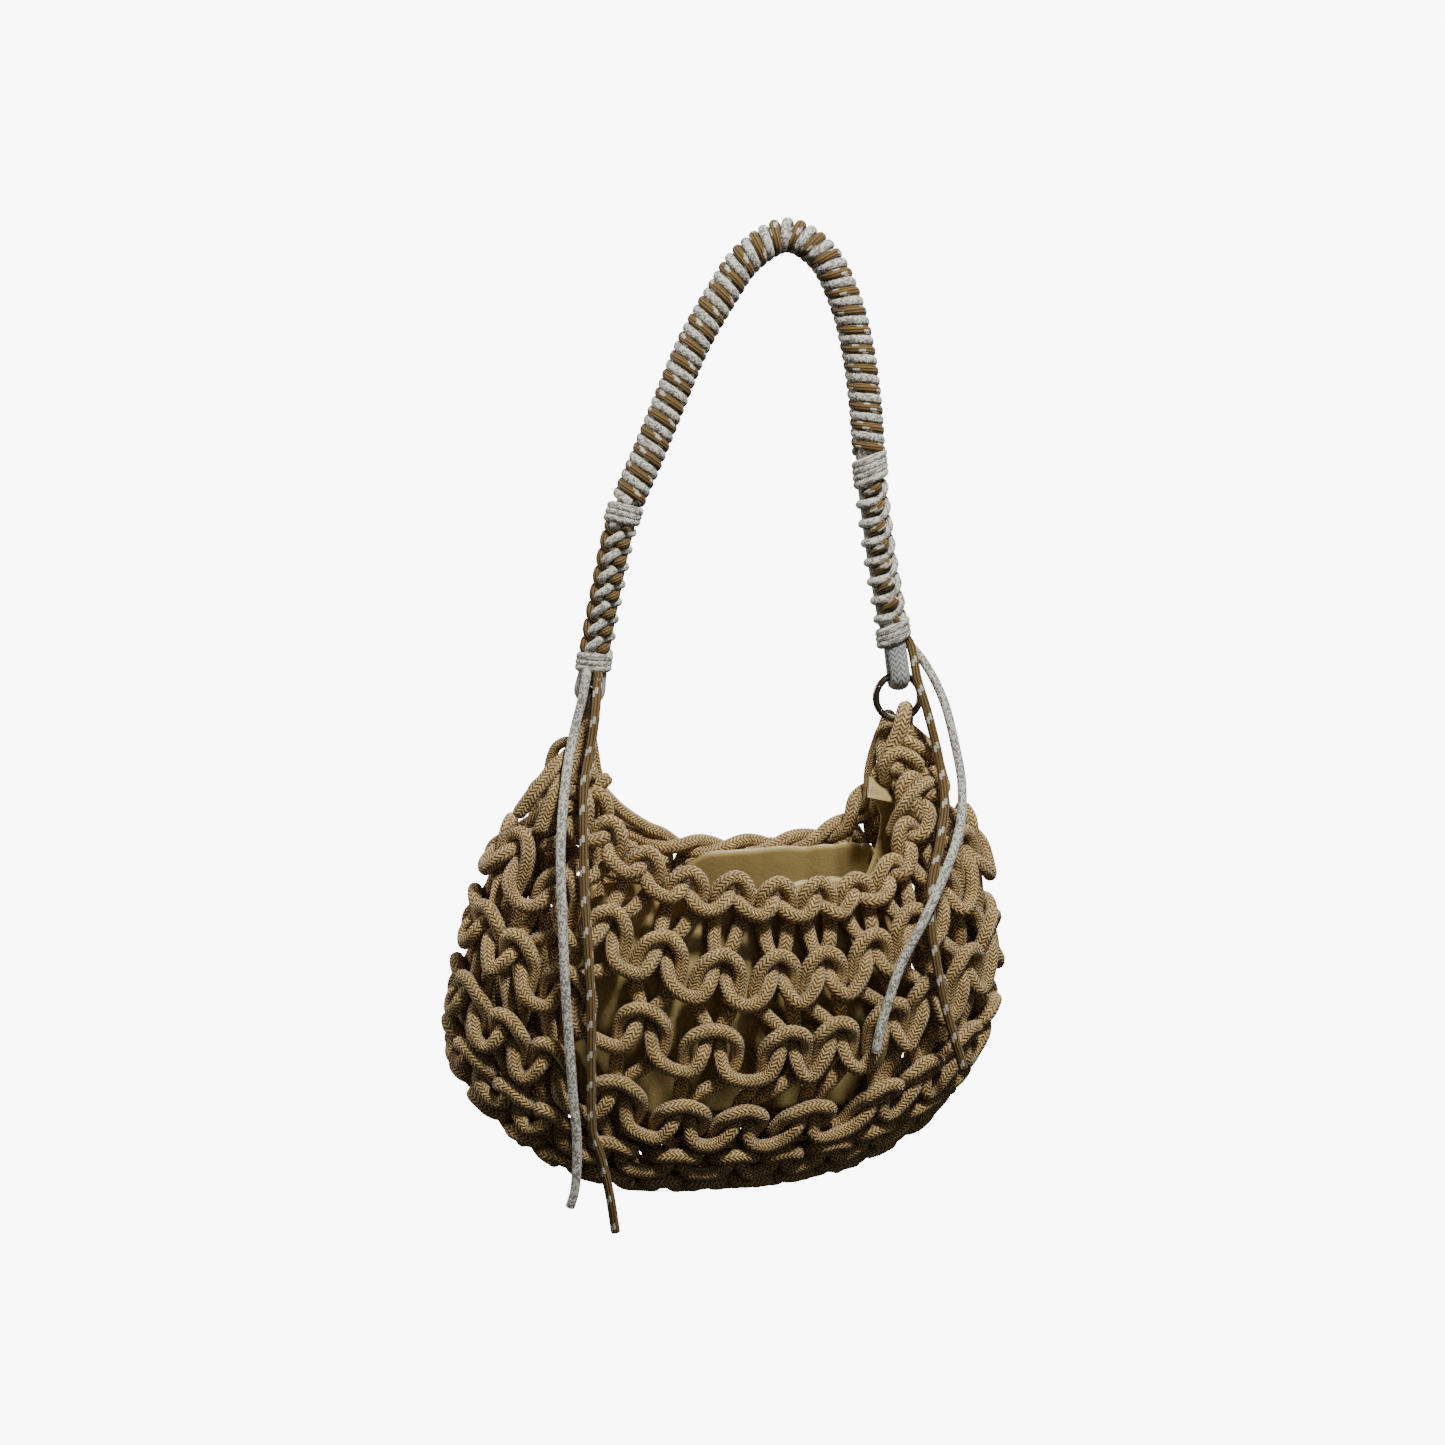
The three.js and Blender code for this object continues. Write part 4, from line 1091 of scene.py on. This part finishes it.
# Ears: ropes between the rim's ends and the rings. Each has its width and its points to the right,
# to the back and up from the middle of the ring's lowest wire, in millimetres.
EAR_ROPES = {
    "left": (
        (6, ((-24, 14, -40), (-23, 12, -27), (-21, 9, -14), (-18, 6, -7), (-13, 3, -4),
            (-8, 0, -4))),
        (8, ((3, 6, -44), (4, 7, -32), (2, 6, -15), (0, 4, -2), (-1, 0, 5), (-3, -6, 1),
            (-6, -9, -8), (-11, -10, -17), (-13, -9, -26), (-10, -6, -38), (-4, -2, -46))),
        (8, ((-40, -18, -39), (-33, -20, -29), (-26, -18, -21), (-20, -14, -15), (-14, -8, -13),
            (-8, 0, -12))),
        (8, ((-29, -24, -47), (-25, -24, -36), (-21, -22, -28), (-16, -16, -22), (-11, -8, -20),
            (-6, 2, -20))),
        (8, ((-4, 0, -36), (-1, -4, -30), (4, -6, -27), (8, -6, -24))),
        (8, ((-4, -8, -38), (-1, -12, -32), (4, -13, -31), (7, -12, -37), (8, -8, -45),
            (5, -2, -52))),
        (8, ((0, -4, -42), (2, -2, -33), (1, 2, -24), (0, 4, -18))),
        (8, ((-19, 14, -60), (-9, 14, -68), (-1, 14, -75), (12, 14, -80), (28, 14, -84))),
        (8, ((0, 8, 27), (-3, 10, 8), (1, 13, -22), (4, 16, -71), (5, 18, -126), (9, 14, -183),
            (12, 6, -215), (13, 2, -232))),
        (8, ((-19, 8, -23), (-30, 10, -42), (-28, 14, -72), (-25, 16, -102), (-20, 16, -124),
            (-16, 12, -176), (-10, 6, -209))),
        (8, ((-33, 2, -64), (-41, 6, -100), (-50, 8, -138), (-46, 6, -173), (-35, 2, -198))),
    ),
    "right": (
        (9, ((4, 4, -29), (5, 7, -19), (5, 6, -7), (5, 3, 4), (4, -1, 6), (2, -6, 3), (0, -8, -7),
            (-2, -7, -16), (-4, -2, -25))),
        (8, ((-5, -2, -41), (-7, -8, -33), (-7, -11, -25), (-2, -12, -19), (3, -12, -21),
            (7, -9, -26), (7, -3, -33))),
        (9, ((-3, -3, -26), (-3, -10, -30), (0, -13, -35), (4, -11, -40), (10, -4, -45))),
        (8, ((0, -14, -62), (0, -18, -51), (2, -20, -42), (7, -20, -36), (13, -17, -35),
            (18, -10, -42), (18, -4, -50))),
        (9, ((6, -10, -37), (5, -20, -42), (7, -22, -49), (12, -19, -55), (18, -12, -60))),
        (8, ((2, 4, -8), (6, 1, -6), (10, -2, -9), (15, -3, -14), (19, -2, -22), (22, 4, -33))),
        (8, ((3, 2, -17), (5, -6, -14), (10, -8, -16), (16, -6, -18), (22, 0, -24), (27, 6, -35))),
        (8, ((4, -2, -29), (7, -7, -28), (12, -8, -31), (18, -5, -37), (25, 0, -46), (30, 2, -58))),
        (6, ((3, 4, -4), (-1, 8, -4), (-6, 10, -6), (-9, 13, -16), (-11, 17, -31), (-13, 22, -49),
            (-16, 26, -59))),
        (6, ((6, 6, -8), (2, 9, -7), (-1, 11, -10), (-2, 13, -20), (-2, 16, -34), (-2, 20, -49))),
        (8, ((-3, 10, 1), (-5, 12, -11), (-3, 10, -23), (-1, 8, -36))),
        (8, ((30, 4, -76), (32, 8, -112), (32, 10, -145), (28, 8, -191), (19, 2, -219))),
    ),
}


def ear_ropes(sizes, side):
    """The widths and lines of the ropes at one end of the body, which loop through its ring."""
    wire = ring_centre(sizes, side) - np.array([0, 0, RING_RADIUS])
    return [(wide, smooth_line(wire + np.array(route) * MM, 8)) for wide, route in EAR_ROPES[side]]


ROW_NAMES = ("rim_loops", "row_a", "row_b", "row_c", "row_d", "row_e", "row_f")


class AddCrochet(BagOperator, bpy.types.Operator):
    """Crochet the body: a wave of rope for each row, the ears, and the rim's and bottom's twists"""

    bl_idname = "crochet_bag.crochet"
    bl_label = "Crocheted body"

    def build(self, sizes):
        rng = np.random.default_rng(SEED)
        wall = Wall(sizes)
        tops = loop_tops(sizes, rng)
        waves = [wave(wall, tops, index, rng) for index in range(-1, LAST_ROW)]
        if len(waves) != len(ROW_NAMES):
            raise RuntimeError("each row's rope needs a name")
        ears = [(side, wide * MM, line)
                for side in EAR_ROPES for wide, line in ear_ropes(sizes, side)]
        lines = waves + [line for _, _, line in ears] + rim_strands(wall) + bottom_strands(wall)
        closed = [index < len(waves) for index in range(len(lines))]
        # The ropes of an ear are one bundle, and each other rope is one of its own
        bundles = list(range(len(lines)))
        for index, (side, _, _) in enumerate(ears):
            bundles[len(waves) + index] = side
        names = list(dict.fromkeys(bundles))
        bundles = [names.index(bundle) for bundle in bundles]
        lines = soft_lines(lines, closed, SOFT_GAP * sizes.rope, STATION, bundles)
        for name, line in zip(ROW_NAMES, lines):
            piece = tube_object(name, [Strand(line, sizes.rope, closed=True)], finishes().rope)
            place(piece, "body_rope")
            if name == "rim_loops":
                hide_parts("crochet_body")
        for side in EAR_ROPES:
            strands = [Strand(line, wide)
                       for (owner, wide, _), line in zip(ears, lines[len(waves):]) if owner == side]
            ear = "ear_" + side
            place(tube_object(ear + "_ropes", strands, finishes().rope), "body_rope", ear)
        rim = [Strand(line, sizes.rope) for line in lines[-4:-2]]
        place(tube_object("rim_twist", rim, finishes().rope), "body_rope", "rim_edge")
        bottom = [Strand(line, sizes.rope) for line in lines[-2:]]
        place(tube_object("bottom_twist", bottom, finishes().rope), "body_rope")


def core_tube(strap, start, end, wide, thick, shift=0.0, steps=40):
    """The core rope along a stretch of the strap."""
    middle, _, side = strap.at(np.linspace(start, end, steps))
    out = np.broadcast_to(FRONT, middle.shape)
    return Strand(middle + side * shift, wide, thick, out=out, sides=16)


WOUND_THICK = 4 * MM  # the cords are pressed flat where they are wound over the strap
WOUND_CORE = 1.2  # width of the core under them, as a share of the winding's radius
# Turns of white cord at each end of the braids: how many, how far they slant in millimetres and
# where they start
COLLARS = (
    ("left", "upper", 3.0, 0.0, 2.6),
    ("left", "lower", 3.0, 0.0, 2.6),
    ("right", "upper", 4.0, 2.0, 2.6),
    ("right", "lower", 3.0, 2.0, 2.6),
)
# How deep a collar's cord lies inside the collar's radius and how wide it is, as shares of the
# cord's diameter, and the core as a share of the collar's
COLLAR_IN, COLLAR_CORD, COLLAR_CORE = 0.45, 0.98, 0.6


class AddStrap(BagOperator, bpy.types.Operator):
    """Wind the two cords over the strap, and the collars below them"""

    bl_idname = "crochet_bag.strap"
    bl_label = "Wound strap and collars"

    def build(self, sizes):
        strap = StrapLine(sizes)
        start, end = strap.marks("left")[3], strap.marks("right")[3]
        arm = sizes.strap / 2 - WOUND_THICK / 2
        turns = -(end - start) / sizes.turn_pair
        for name, phase in (("white", 0.0), ("brown", math.pi)):
            line, out = strap.wound(start, end, arm, turns, phase)
            cord = Strand(line, 0.5 * sizes.turn_pair, WOUND_THICK, out=out)
            piece = tube_object("wrap_" + name, [cord], getattr(finishes(), name))
            place(piece, "cord_" + name)
            if name == "white":
                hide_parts("strap_wrap")
        core = core_tube(strap, start, end, WOUND_CORE * arm, WOUND_CORE * arm, steps=90)
        place(tube_object("wrap_core", [core], finishes().core), "core_rope")
        for side, level, turns, skew, phase in COLLARS:
            marks = strap.marks(side)
            first = 0 if level == "lower" else 2
            low, high = sorted(marks[first:first + 2])
            half = 0.5 * sizes.cord
            arm = sizes.collar / 2 - COLLAR_IN * sizes.cord
            line, _ = strap.wound(low + half, high - half, arm, turns, phase, skew * MM)
            name = "collar_" + level + "_" + side
            wide = COLLAR_CORE * sizes.collar
            strands = [Strand(line, sizes.cord * COLLAR_CORD),
                       core_tube(strap, low, high, wide, wide)]
            place(tube_object(name + "_turns", strands, finishes().white), "cord_white", name)


# The braid's cords over one repeat: across the strap, to the front and along it, in millimetres
BRAID_REPEAT = 9.8
BRAID_REPEATS = 7
BRAID_WHITE = (
    (-4, 1.4, -1.6), (-4.4, 4.2, -0.4), (-3.4, 5.9, 1.6), (0, 6.2, 4.9), (2, 4.2, 6.9), (5, 3, 8),
    (7.4, 0.4, 8.6), (6, -5, 9), (1, -7.4, 9), (-3.6, -4.4, 8.8),
)
BRAID_BROWN = (
    (-6.2, 0.6, 4.8), (-6.9, 2.4, 2.4), (-6.5, 3, -0.4), (-4.8, 3, -2.8), (-1.6, 2.8, -2.4),
    (1.2, 4, -0.6), (3, 6.4, 0.8), (4.6, 5, 2), (5.2, 0.5, 3.4), (2, -4.6, 6.4), (-3.4, -3.6, 11.4),
)
BRAID_OVER = 2  # how far the cords and the core run on into the collars, in millimetres
BRAID_CORD = 0.95  # share of its diameter that a braided cord keeps
BRAID_CORE_THICK, BRAID_CORE_SHIFT = 7.5 * MM, 2.5 * MM
BRAID_ROLL = {"left": 0.0, "right": 0.75}  # how far the braid is turned about the strap, in radians


class AddBraids(BagOperator, bpy.types.Operator):
    """Braid the white and the brown cord over the core rope"""

    bl_idname = "crochet_bag.braids"
    bl_label = "Braids"

    def build(self, sizes):
        strap = StrapLine(sizes)
        for side, roll in BRAID_ROLL.items():
            name = "braid_" + side
            start, end = sorted(strap.marks(side)[1:3])
            repeat = (end - start) / BRAID_REPEATS
            last = BRAID_REPEAT * BRAID_REPEATS + BRAID_OVER
            for shade, table in (("white", BRAID_WHITE), ("brown", BRAID_BROWN)):
                points = [(across, out, along + BRAID_REPEAT * k)
                          for k in range(-1, BRAID_REPEATS + 1) for across, out, along in table]
                points = [point for point in points if -BRAID_OVER < point[2] < last]
                across, out, along = (np.array(points) * MM).T
                along = start + along * repeat / (BRAID_REPEAT * MM)
                middle, _, sideways = strap.at(along)
                across, out = (across * math.cos(roll) - out * math.sin(roll),
                               across * math.sin(roll) + out * math.cos(roll))
                points = middle + sideways * across[:, None] + FRONT * out[:, None]
                cord = Strand(smooth_line(points, 5), BRAID_CORD * sizes.cord)
                piece = tube_object(name + "_" + shade, [cord], getattr(finishes(), shade))
                place(piece, "cord_" + shade)
                if shade == "white":
                    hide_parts(name)
            over = BRAID_OVER * MM
            core = core_tube(strap, start - over, end + over, sizes.core_width,
                             BRAID_CORE_THICK, BRAID_CORE_SHIFT)
            place(tube_object(name + "_core", [core], finishes().core), "core_rope")


# The core rope's loop: how far its two ends run up into the collar, and how far apart they lie
# there as a share of the bend's width
LOOP_INTO_COLLAR, LOOP_CLOSES = 3 * MM, 0.8
LOOP_STEP = 1.2 * MM


def ring_arc(sizes, side, start, end, steps):
    angle = np.radians(np.linspace(start, end, steps))[:, None]
    out = np.cos(angle) * np.array(RING_PLANES[side]) + np.sin(angle) * np.array([0, 0, 1])
    return ring_centre(sizes, side) + RING_RADIUS * out


class AddRings(BagOperator, bpy.types.Operator):
    """Close the snap rings, their gates and the core rope's loops round them"""

    bl_idname = "crochet_bag.rings"
    bl_label = "Rings and gates"

    def build(self, sizes):
        strap = StrapLine(sizes)
        gap = math.degrees(CLEARANCE / 2 / RING_RADIUS)
        for side in ("left", "right"):
            ring = ring_arc(sizes, side, GATE_TO + gap, GATE_FROM + 360 - gap, 90)
            gate = ring_arc(sizes, side, GATE_FROM + gap, GATE_TO - gap, 24)
            for name, line, body in (("ring_", ring, "bag"), ("gate_", gate, "gate_arm_" + side)):
                wire = Strand(line, RING_WIRE, sides=20, round_ends=False)
                piece = tube_object(name + side + "_wire", [wire], finishes().metal)
                place(piece, "ring_metal", name + side, body=body)
            loop = self.core_loop(sizes, strap, side)
            name = "strap_loop_" + side
            place(tube_object(name + "_rope", [loop], finishes().core), "core_rope", name)

    def core_loop(self, sizes, strap, side):
        middle, tangent, _ = strap.at(np.array([strap.marks(side)[0]]))
        down = tangent[0] * (-1 if side == "left" else 1)
        lateral = np.array([1.0, 0, 0] if side == "left" else [0, 1.0, 0])
        up = np.array([0, 0, 1.0])
        half = RING_WIRE / 2 + CLEARANCE + sizes.core_thick / 2
        wire = ring_centre(sizes, side) + RING_RADIUS * up
        angle = np.linspace(0, math.pi, 14)[:, None]
        bend = wire - half * np.cos(angle) * lateral - half * np.sin(angle) * up
        top = middle[0] - LOOP_INTO_COLLAR * down
        arm = LOOP_CLOSES * half * lateral
        points = np.concatenate([[top - arm], bend, [top + arm]])
        line = resample(smooth_line(points, 8), LOOP_STEP)
        flat = np.cross(lateral, up)
        out = np.cross(flat, norm(np.gradient(line, axis=0)))
        return Strand(line, sizes.core_width, sizes.core_thick, out=out, sides=16)


# Pouch, as in the part's source
POUCH_LENGTH, POUCH_DEPTH, POUCH_HEIGHT = 196 * MM, 74 * MM, 140 * MM
POUCH_WALL = 1.6 * MM
POUCH_CENTRE = -27 * MM
POUCH_BELOW_EARS = 56.5 * MM
POUCH_SQUARENESS = 3.2
POUCH_ROWS = {
    "drop": (0, 0.3, 0.62, 0.9, 1),
    "length": (0.88, 1.02, 1.04, 0.88, 0.68),
    "depth": (0.74, 1, 1, 0.8, 0.42),
}
# Creases: how often each kind runs round, how it drifts on the way down, where it starts, and its
# share of FOLD_DEPTH. The mouth's edge goes up and down with them.
POUCH_FOLDS = ((9, 3.1, 0, 1), (23, -7, 1.3, 0.7), (5, 9, 0.6, 0.8))
FOLD_DEPTH, FOLD_UP = 0.9 * MM, 0.8 * MM
# The back panel reaches higher and lies further in, from one place on its mouth to the right of
# it, and the whole mouth slants up to the right
POUCH_RISE, POUCH_RISE_IN = 12 * MM, 6 * MM
POUCH_RISE_FROM, POUCH_RISE_OVER = -62 * MM, 20 * MM
POUCH_SLANT = 0.06
POUCH_AROUND, POUCH_DOWN = 240, 48  # corners of the pouch's mesh round it and down it
# The tab from the pouch's right end up to the ear, where it folds over to the front: to the right,
# back and up from the hanging point, in millimetres
TAB = ((50, 4, -350), (56, 5, -335), (60, 6, -318), (60, 4, -302), (58, -2, -293.5),
       (57, -8, -294), (56, -11.5, -300))
# It is narrow up to one share of its length and wide from another, and leans this much
TAB_FOOT, TAB_WIDE = 9 * MM, 25 * MM
TAB_WIDENS = (0, 0.4, 0.65)
TAB_LEAN = 0.5


def pouch_wall(sizes, turn, drop, inset):
    """The pouch's sheet with its creases, which lie inside its full shape."""
    angle = 2 * math.pi * turn
    power = 2 / POUCH_SQUARENESS
    x = np.sign(np.cos(angle)) * np.abs(np.cos(angle)) ** power
    y = np.sign(np.sin(angle)) * np.abs(np.sin(angle)) ** power
    length = np.interp(drop, POUCH_ROWS["drop"], POUCH_ROWS["length"]) * POUCH_LENGTH
    depth = np.interp(drop, POUCH_ROWS["drop"], POUCH_ROWS["depth"]) * POUCH_DEPTH
    folds = sum(share * np.sin(often * angle + drift * drop + start)
                for often, drift, start, share in POUCH_FOLDS)
    deepest = sum(fold[3] for fold in POUCH_FOLDS)
    hollow = inset + FOLD_DEPTH * (deepest + folds)
    right = POUCH_CENTRE + x * (length / 2 - hollow)
    raised = ((1 - drop) ** 2 * np.clip(1.5 * y, 0, 1)
              * np.clip((right - POUCH_RISE_FROM) / POUCH_RISE_OVER, 0, 1))
    rise = POUCH_RISE * raised + (1 - drop) ** 2 * POUCH_SLANT * (right - POUCH_CENTRE)
    level = sizes.ears_level - POUCH_BELOW_EARS - drop * POUCH_HEIGHT
    return np.stack([
        right,
        y * (depth / 2 - hollow - POUCH_RISE_IN * raised),
        level + rise + FOLD_UP * (1 - drop) * folds,
    ], -1)


class AddPouch(BagOperator, bpy.types.Operator):
    """Hang the creased pouch and its tab inside the net"""

    bl_idname = "crochet_bag.pouch"
    bl_label = "Pouch"

    def build(self, sizes):
        around, down = POUCH_AROUND, POUCH_DOWN
        drop, turn = np.meshgrid(np.linspace(0, 1, down), np.arange(around) / around, indexing="ij")
        shells = [pouch_wall(sizes, turn, drop, inset) for inset in (0, POUCH_WALL)]
        shells[1][-1, :, 2] += POUCH_WALL
        vertices = np.concatenate([shell.reshape(-1, 3) for shell in shells])

        def at(shell, i, j):
            return (shell * down + i) * around + j % around

        faces = []
        for j in range(around):
            for i in range(down - 1):
                faces.append([at(0, i, j), at(0, i + 1, j), at(0, i + 1, j + 1), at(0, i, j + 1)])
                faces.append([at(1, i, j), at(1, i, j + 1), at(1, i + 1, j + 1), at(1, i + 1, j)])
            faces.append([at(0, 0, j), at(0, 0, j + 1), at(1, 0, j + 1), at(1, 0, j)])
        faces.append([at(0, down - 1, j) for j in reversed(range(around))])
        faces.append([at(1, down - 1, j) for j in range(around)])
        pouch = mesh_object("pouch_sheet", vertices, faces, finishes().pouch)
        place(pouch, "pouch_sheet", "inner_pouch")
        line = smooth_line(np.array(TAB) * MM, 8)
        lean = np.array([[math.cos(TAB_LEAN), 0, -math.sin(TAB_LEAN)]])
        out = np.cross(norm(np.gradient(line, axis=0)), np.broadcast_to(lean, line.shape))
        share = np.linspace(0, 1, len(line))
        wide = np.interp(share, TAB_WIDENS, (TAB_FOOT, TAB_FOOT, TAB_WIDE))
        strip = Strand(line, wide, POUCH_WALL, out=out, sides=16, round_ends=False)
        tab = tube_object("pouch_tab_strip", [strip], finishes().pouch)
        place(tab, "pouch_sheet", "pouch_tab")


ROOM = 5.0  # from the middle of the pale room to its walls
ROOM_GLOW, WORLD_LIGHT = 9.0, 0.05
AIM = (-0.03, 0, -0.40)  # what the lights point at
# Lights: where each stands, its diameter, its power in watts and its spread in degrees
LIGHTS = (
    ("key", (0.2, -0.66, 0.72), 0.2, 21, 170),
    ("fill", (0.5, -1.5, 0.1), 1.2, 1.0, 140),
    ("back", (0.5, 1.3, 0.5), 1.0, 26, 170),
    ("side", (-1.5, 0.5, 0.3), 1.0, 14, 170),
)


class AddStage(BagOperator, bpy.types.Operator):
    """Set the pale backdrop and the soft lights"""

    bl_idname = "crochet_bag.stage"
    bl_label = "Stage and lights"

    def build(self, sizes):
        material, _, shader = new_material("backdrop", 1.0)
        shader.inputs["Base Color"].default_value = (0.9, 0.9, 0.9, 1)
        shader.inputs["Emission Color"].default_value = (1, 1, 1, 1)
        shader.inputs["Emission Strength"].default_value = ROOM_GLOW
        # A pale room all round, which takes no part in the light
        corners = [(x, y, z) for x in (-ROOM, ROOM) for y in (-ROOM, ROOM) for z in (-ROOM, ROOM)]
        sides = [[0, 1, 3, 2], [4, 6, 7, 5], [0, 4, 5, 1], [2, 3, 7, 6], [0, 2, 6, 4], [1, 5, 7, 3]]
        backdrop = mesh_object("backdrop", corners, sides, material)
        backdrop.visible_diffuse = backdrop.visible_glossy = backdrop.visible_shadow = False
        world = bpy.data.worlds.new("studio")
        world.use_nodes = True
        background = world.node_tree.nodes["Background"]
        background.inputs["Color"].default_value = (1, 1, 1, 1)
        background.inputs["Strength"].default_value = WORLD_LIGHT
        bpy.context.scene.world = world
        for name, stand, size, power, spread in LIGHTS:
            light = bpy.data.lights.new(name, "AREA")
            light.shape = "DISK"
            light.size, light.energy, light.spread = size, power, math.radians(spread)
            lamp = bpy.data.objects.new(name, light)
            bpy.context.scene.collection.objects.link(lamp)
            lamp.location = stand
            away = Vector(stand) - Vector(AIM)
            lamp.rotation_euler = away.to_track_quat("Z", "Y").to_euler()


OPERATORS = (
    AddCamera, AddCordEnds, AddCrochet, AddStrap, AddBraids, AddRings, AddPouch, AddStage,
)


class BagPanel(bpy.types.Panel):
    """Builds the bag piece by piece"""

    bl_idname = "CROCHET_BAG_PT_panel"
    bl_label = "Crochet bag"
    bl_space_type = "VIEW_3D"
    bl_region_type = "UI"
    bl_category = "Crochet bag"

    def draw(self, context):
        for group in (context.scene.crochet_bag_sizes, context.scene.crochet_bag_colours):
            box = self.layout.box()
            for name in group.bl_rna.properties.keys():
                if name not in ("rna_type", "name"):
                    box.prop(group, name)
        for operator in OPERATORS:
            self.layout.operator(operator.bl_idname)


CLASSES = (BagSizes, BagColours, *OPERATORS, BagPanel)


def register():
    for entry in CLASSES:
        bpy.utils.register_class(entry)
    bpy.types.Scene.crochet_bag_sizes = PointerProperty(type=BagSizes)
    bpy.types.Scene.crochet_bag_colours = PointerProperty(type=BagColours)


def unregister():
    del bpy.types.Scene.crochet_bag_colours
    del bpy.types.Scene.crochet_bag_sizes
    for entry in reversed(CLASSES):
        bpy.utils.unregister_class(entry)


def main():
    register()
    for operator in OPERATORS:
        group, name = operator.bl_idname.split(".")
        getattr(getattr(bpy.ops, group), name)()


if __name__ == "__main__":
    main()
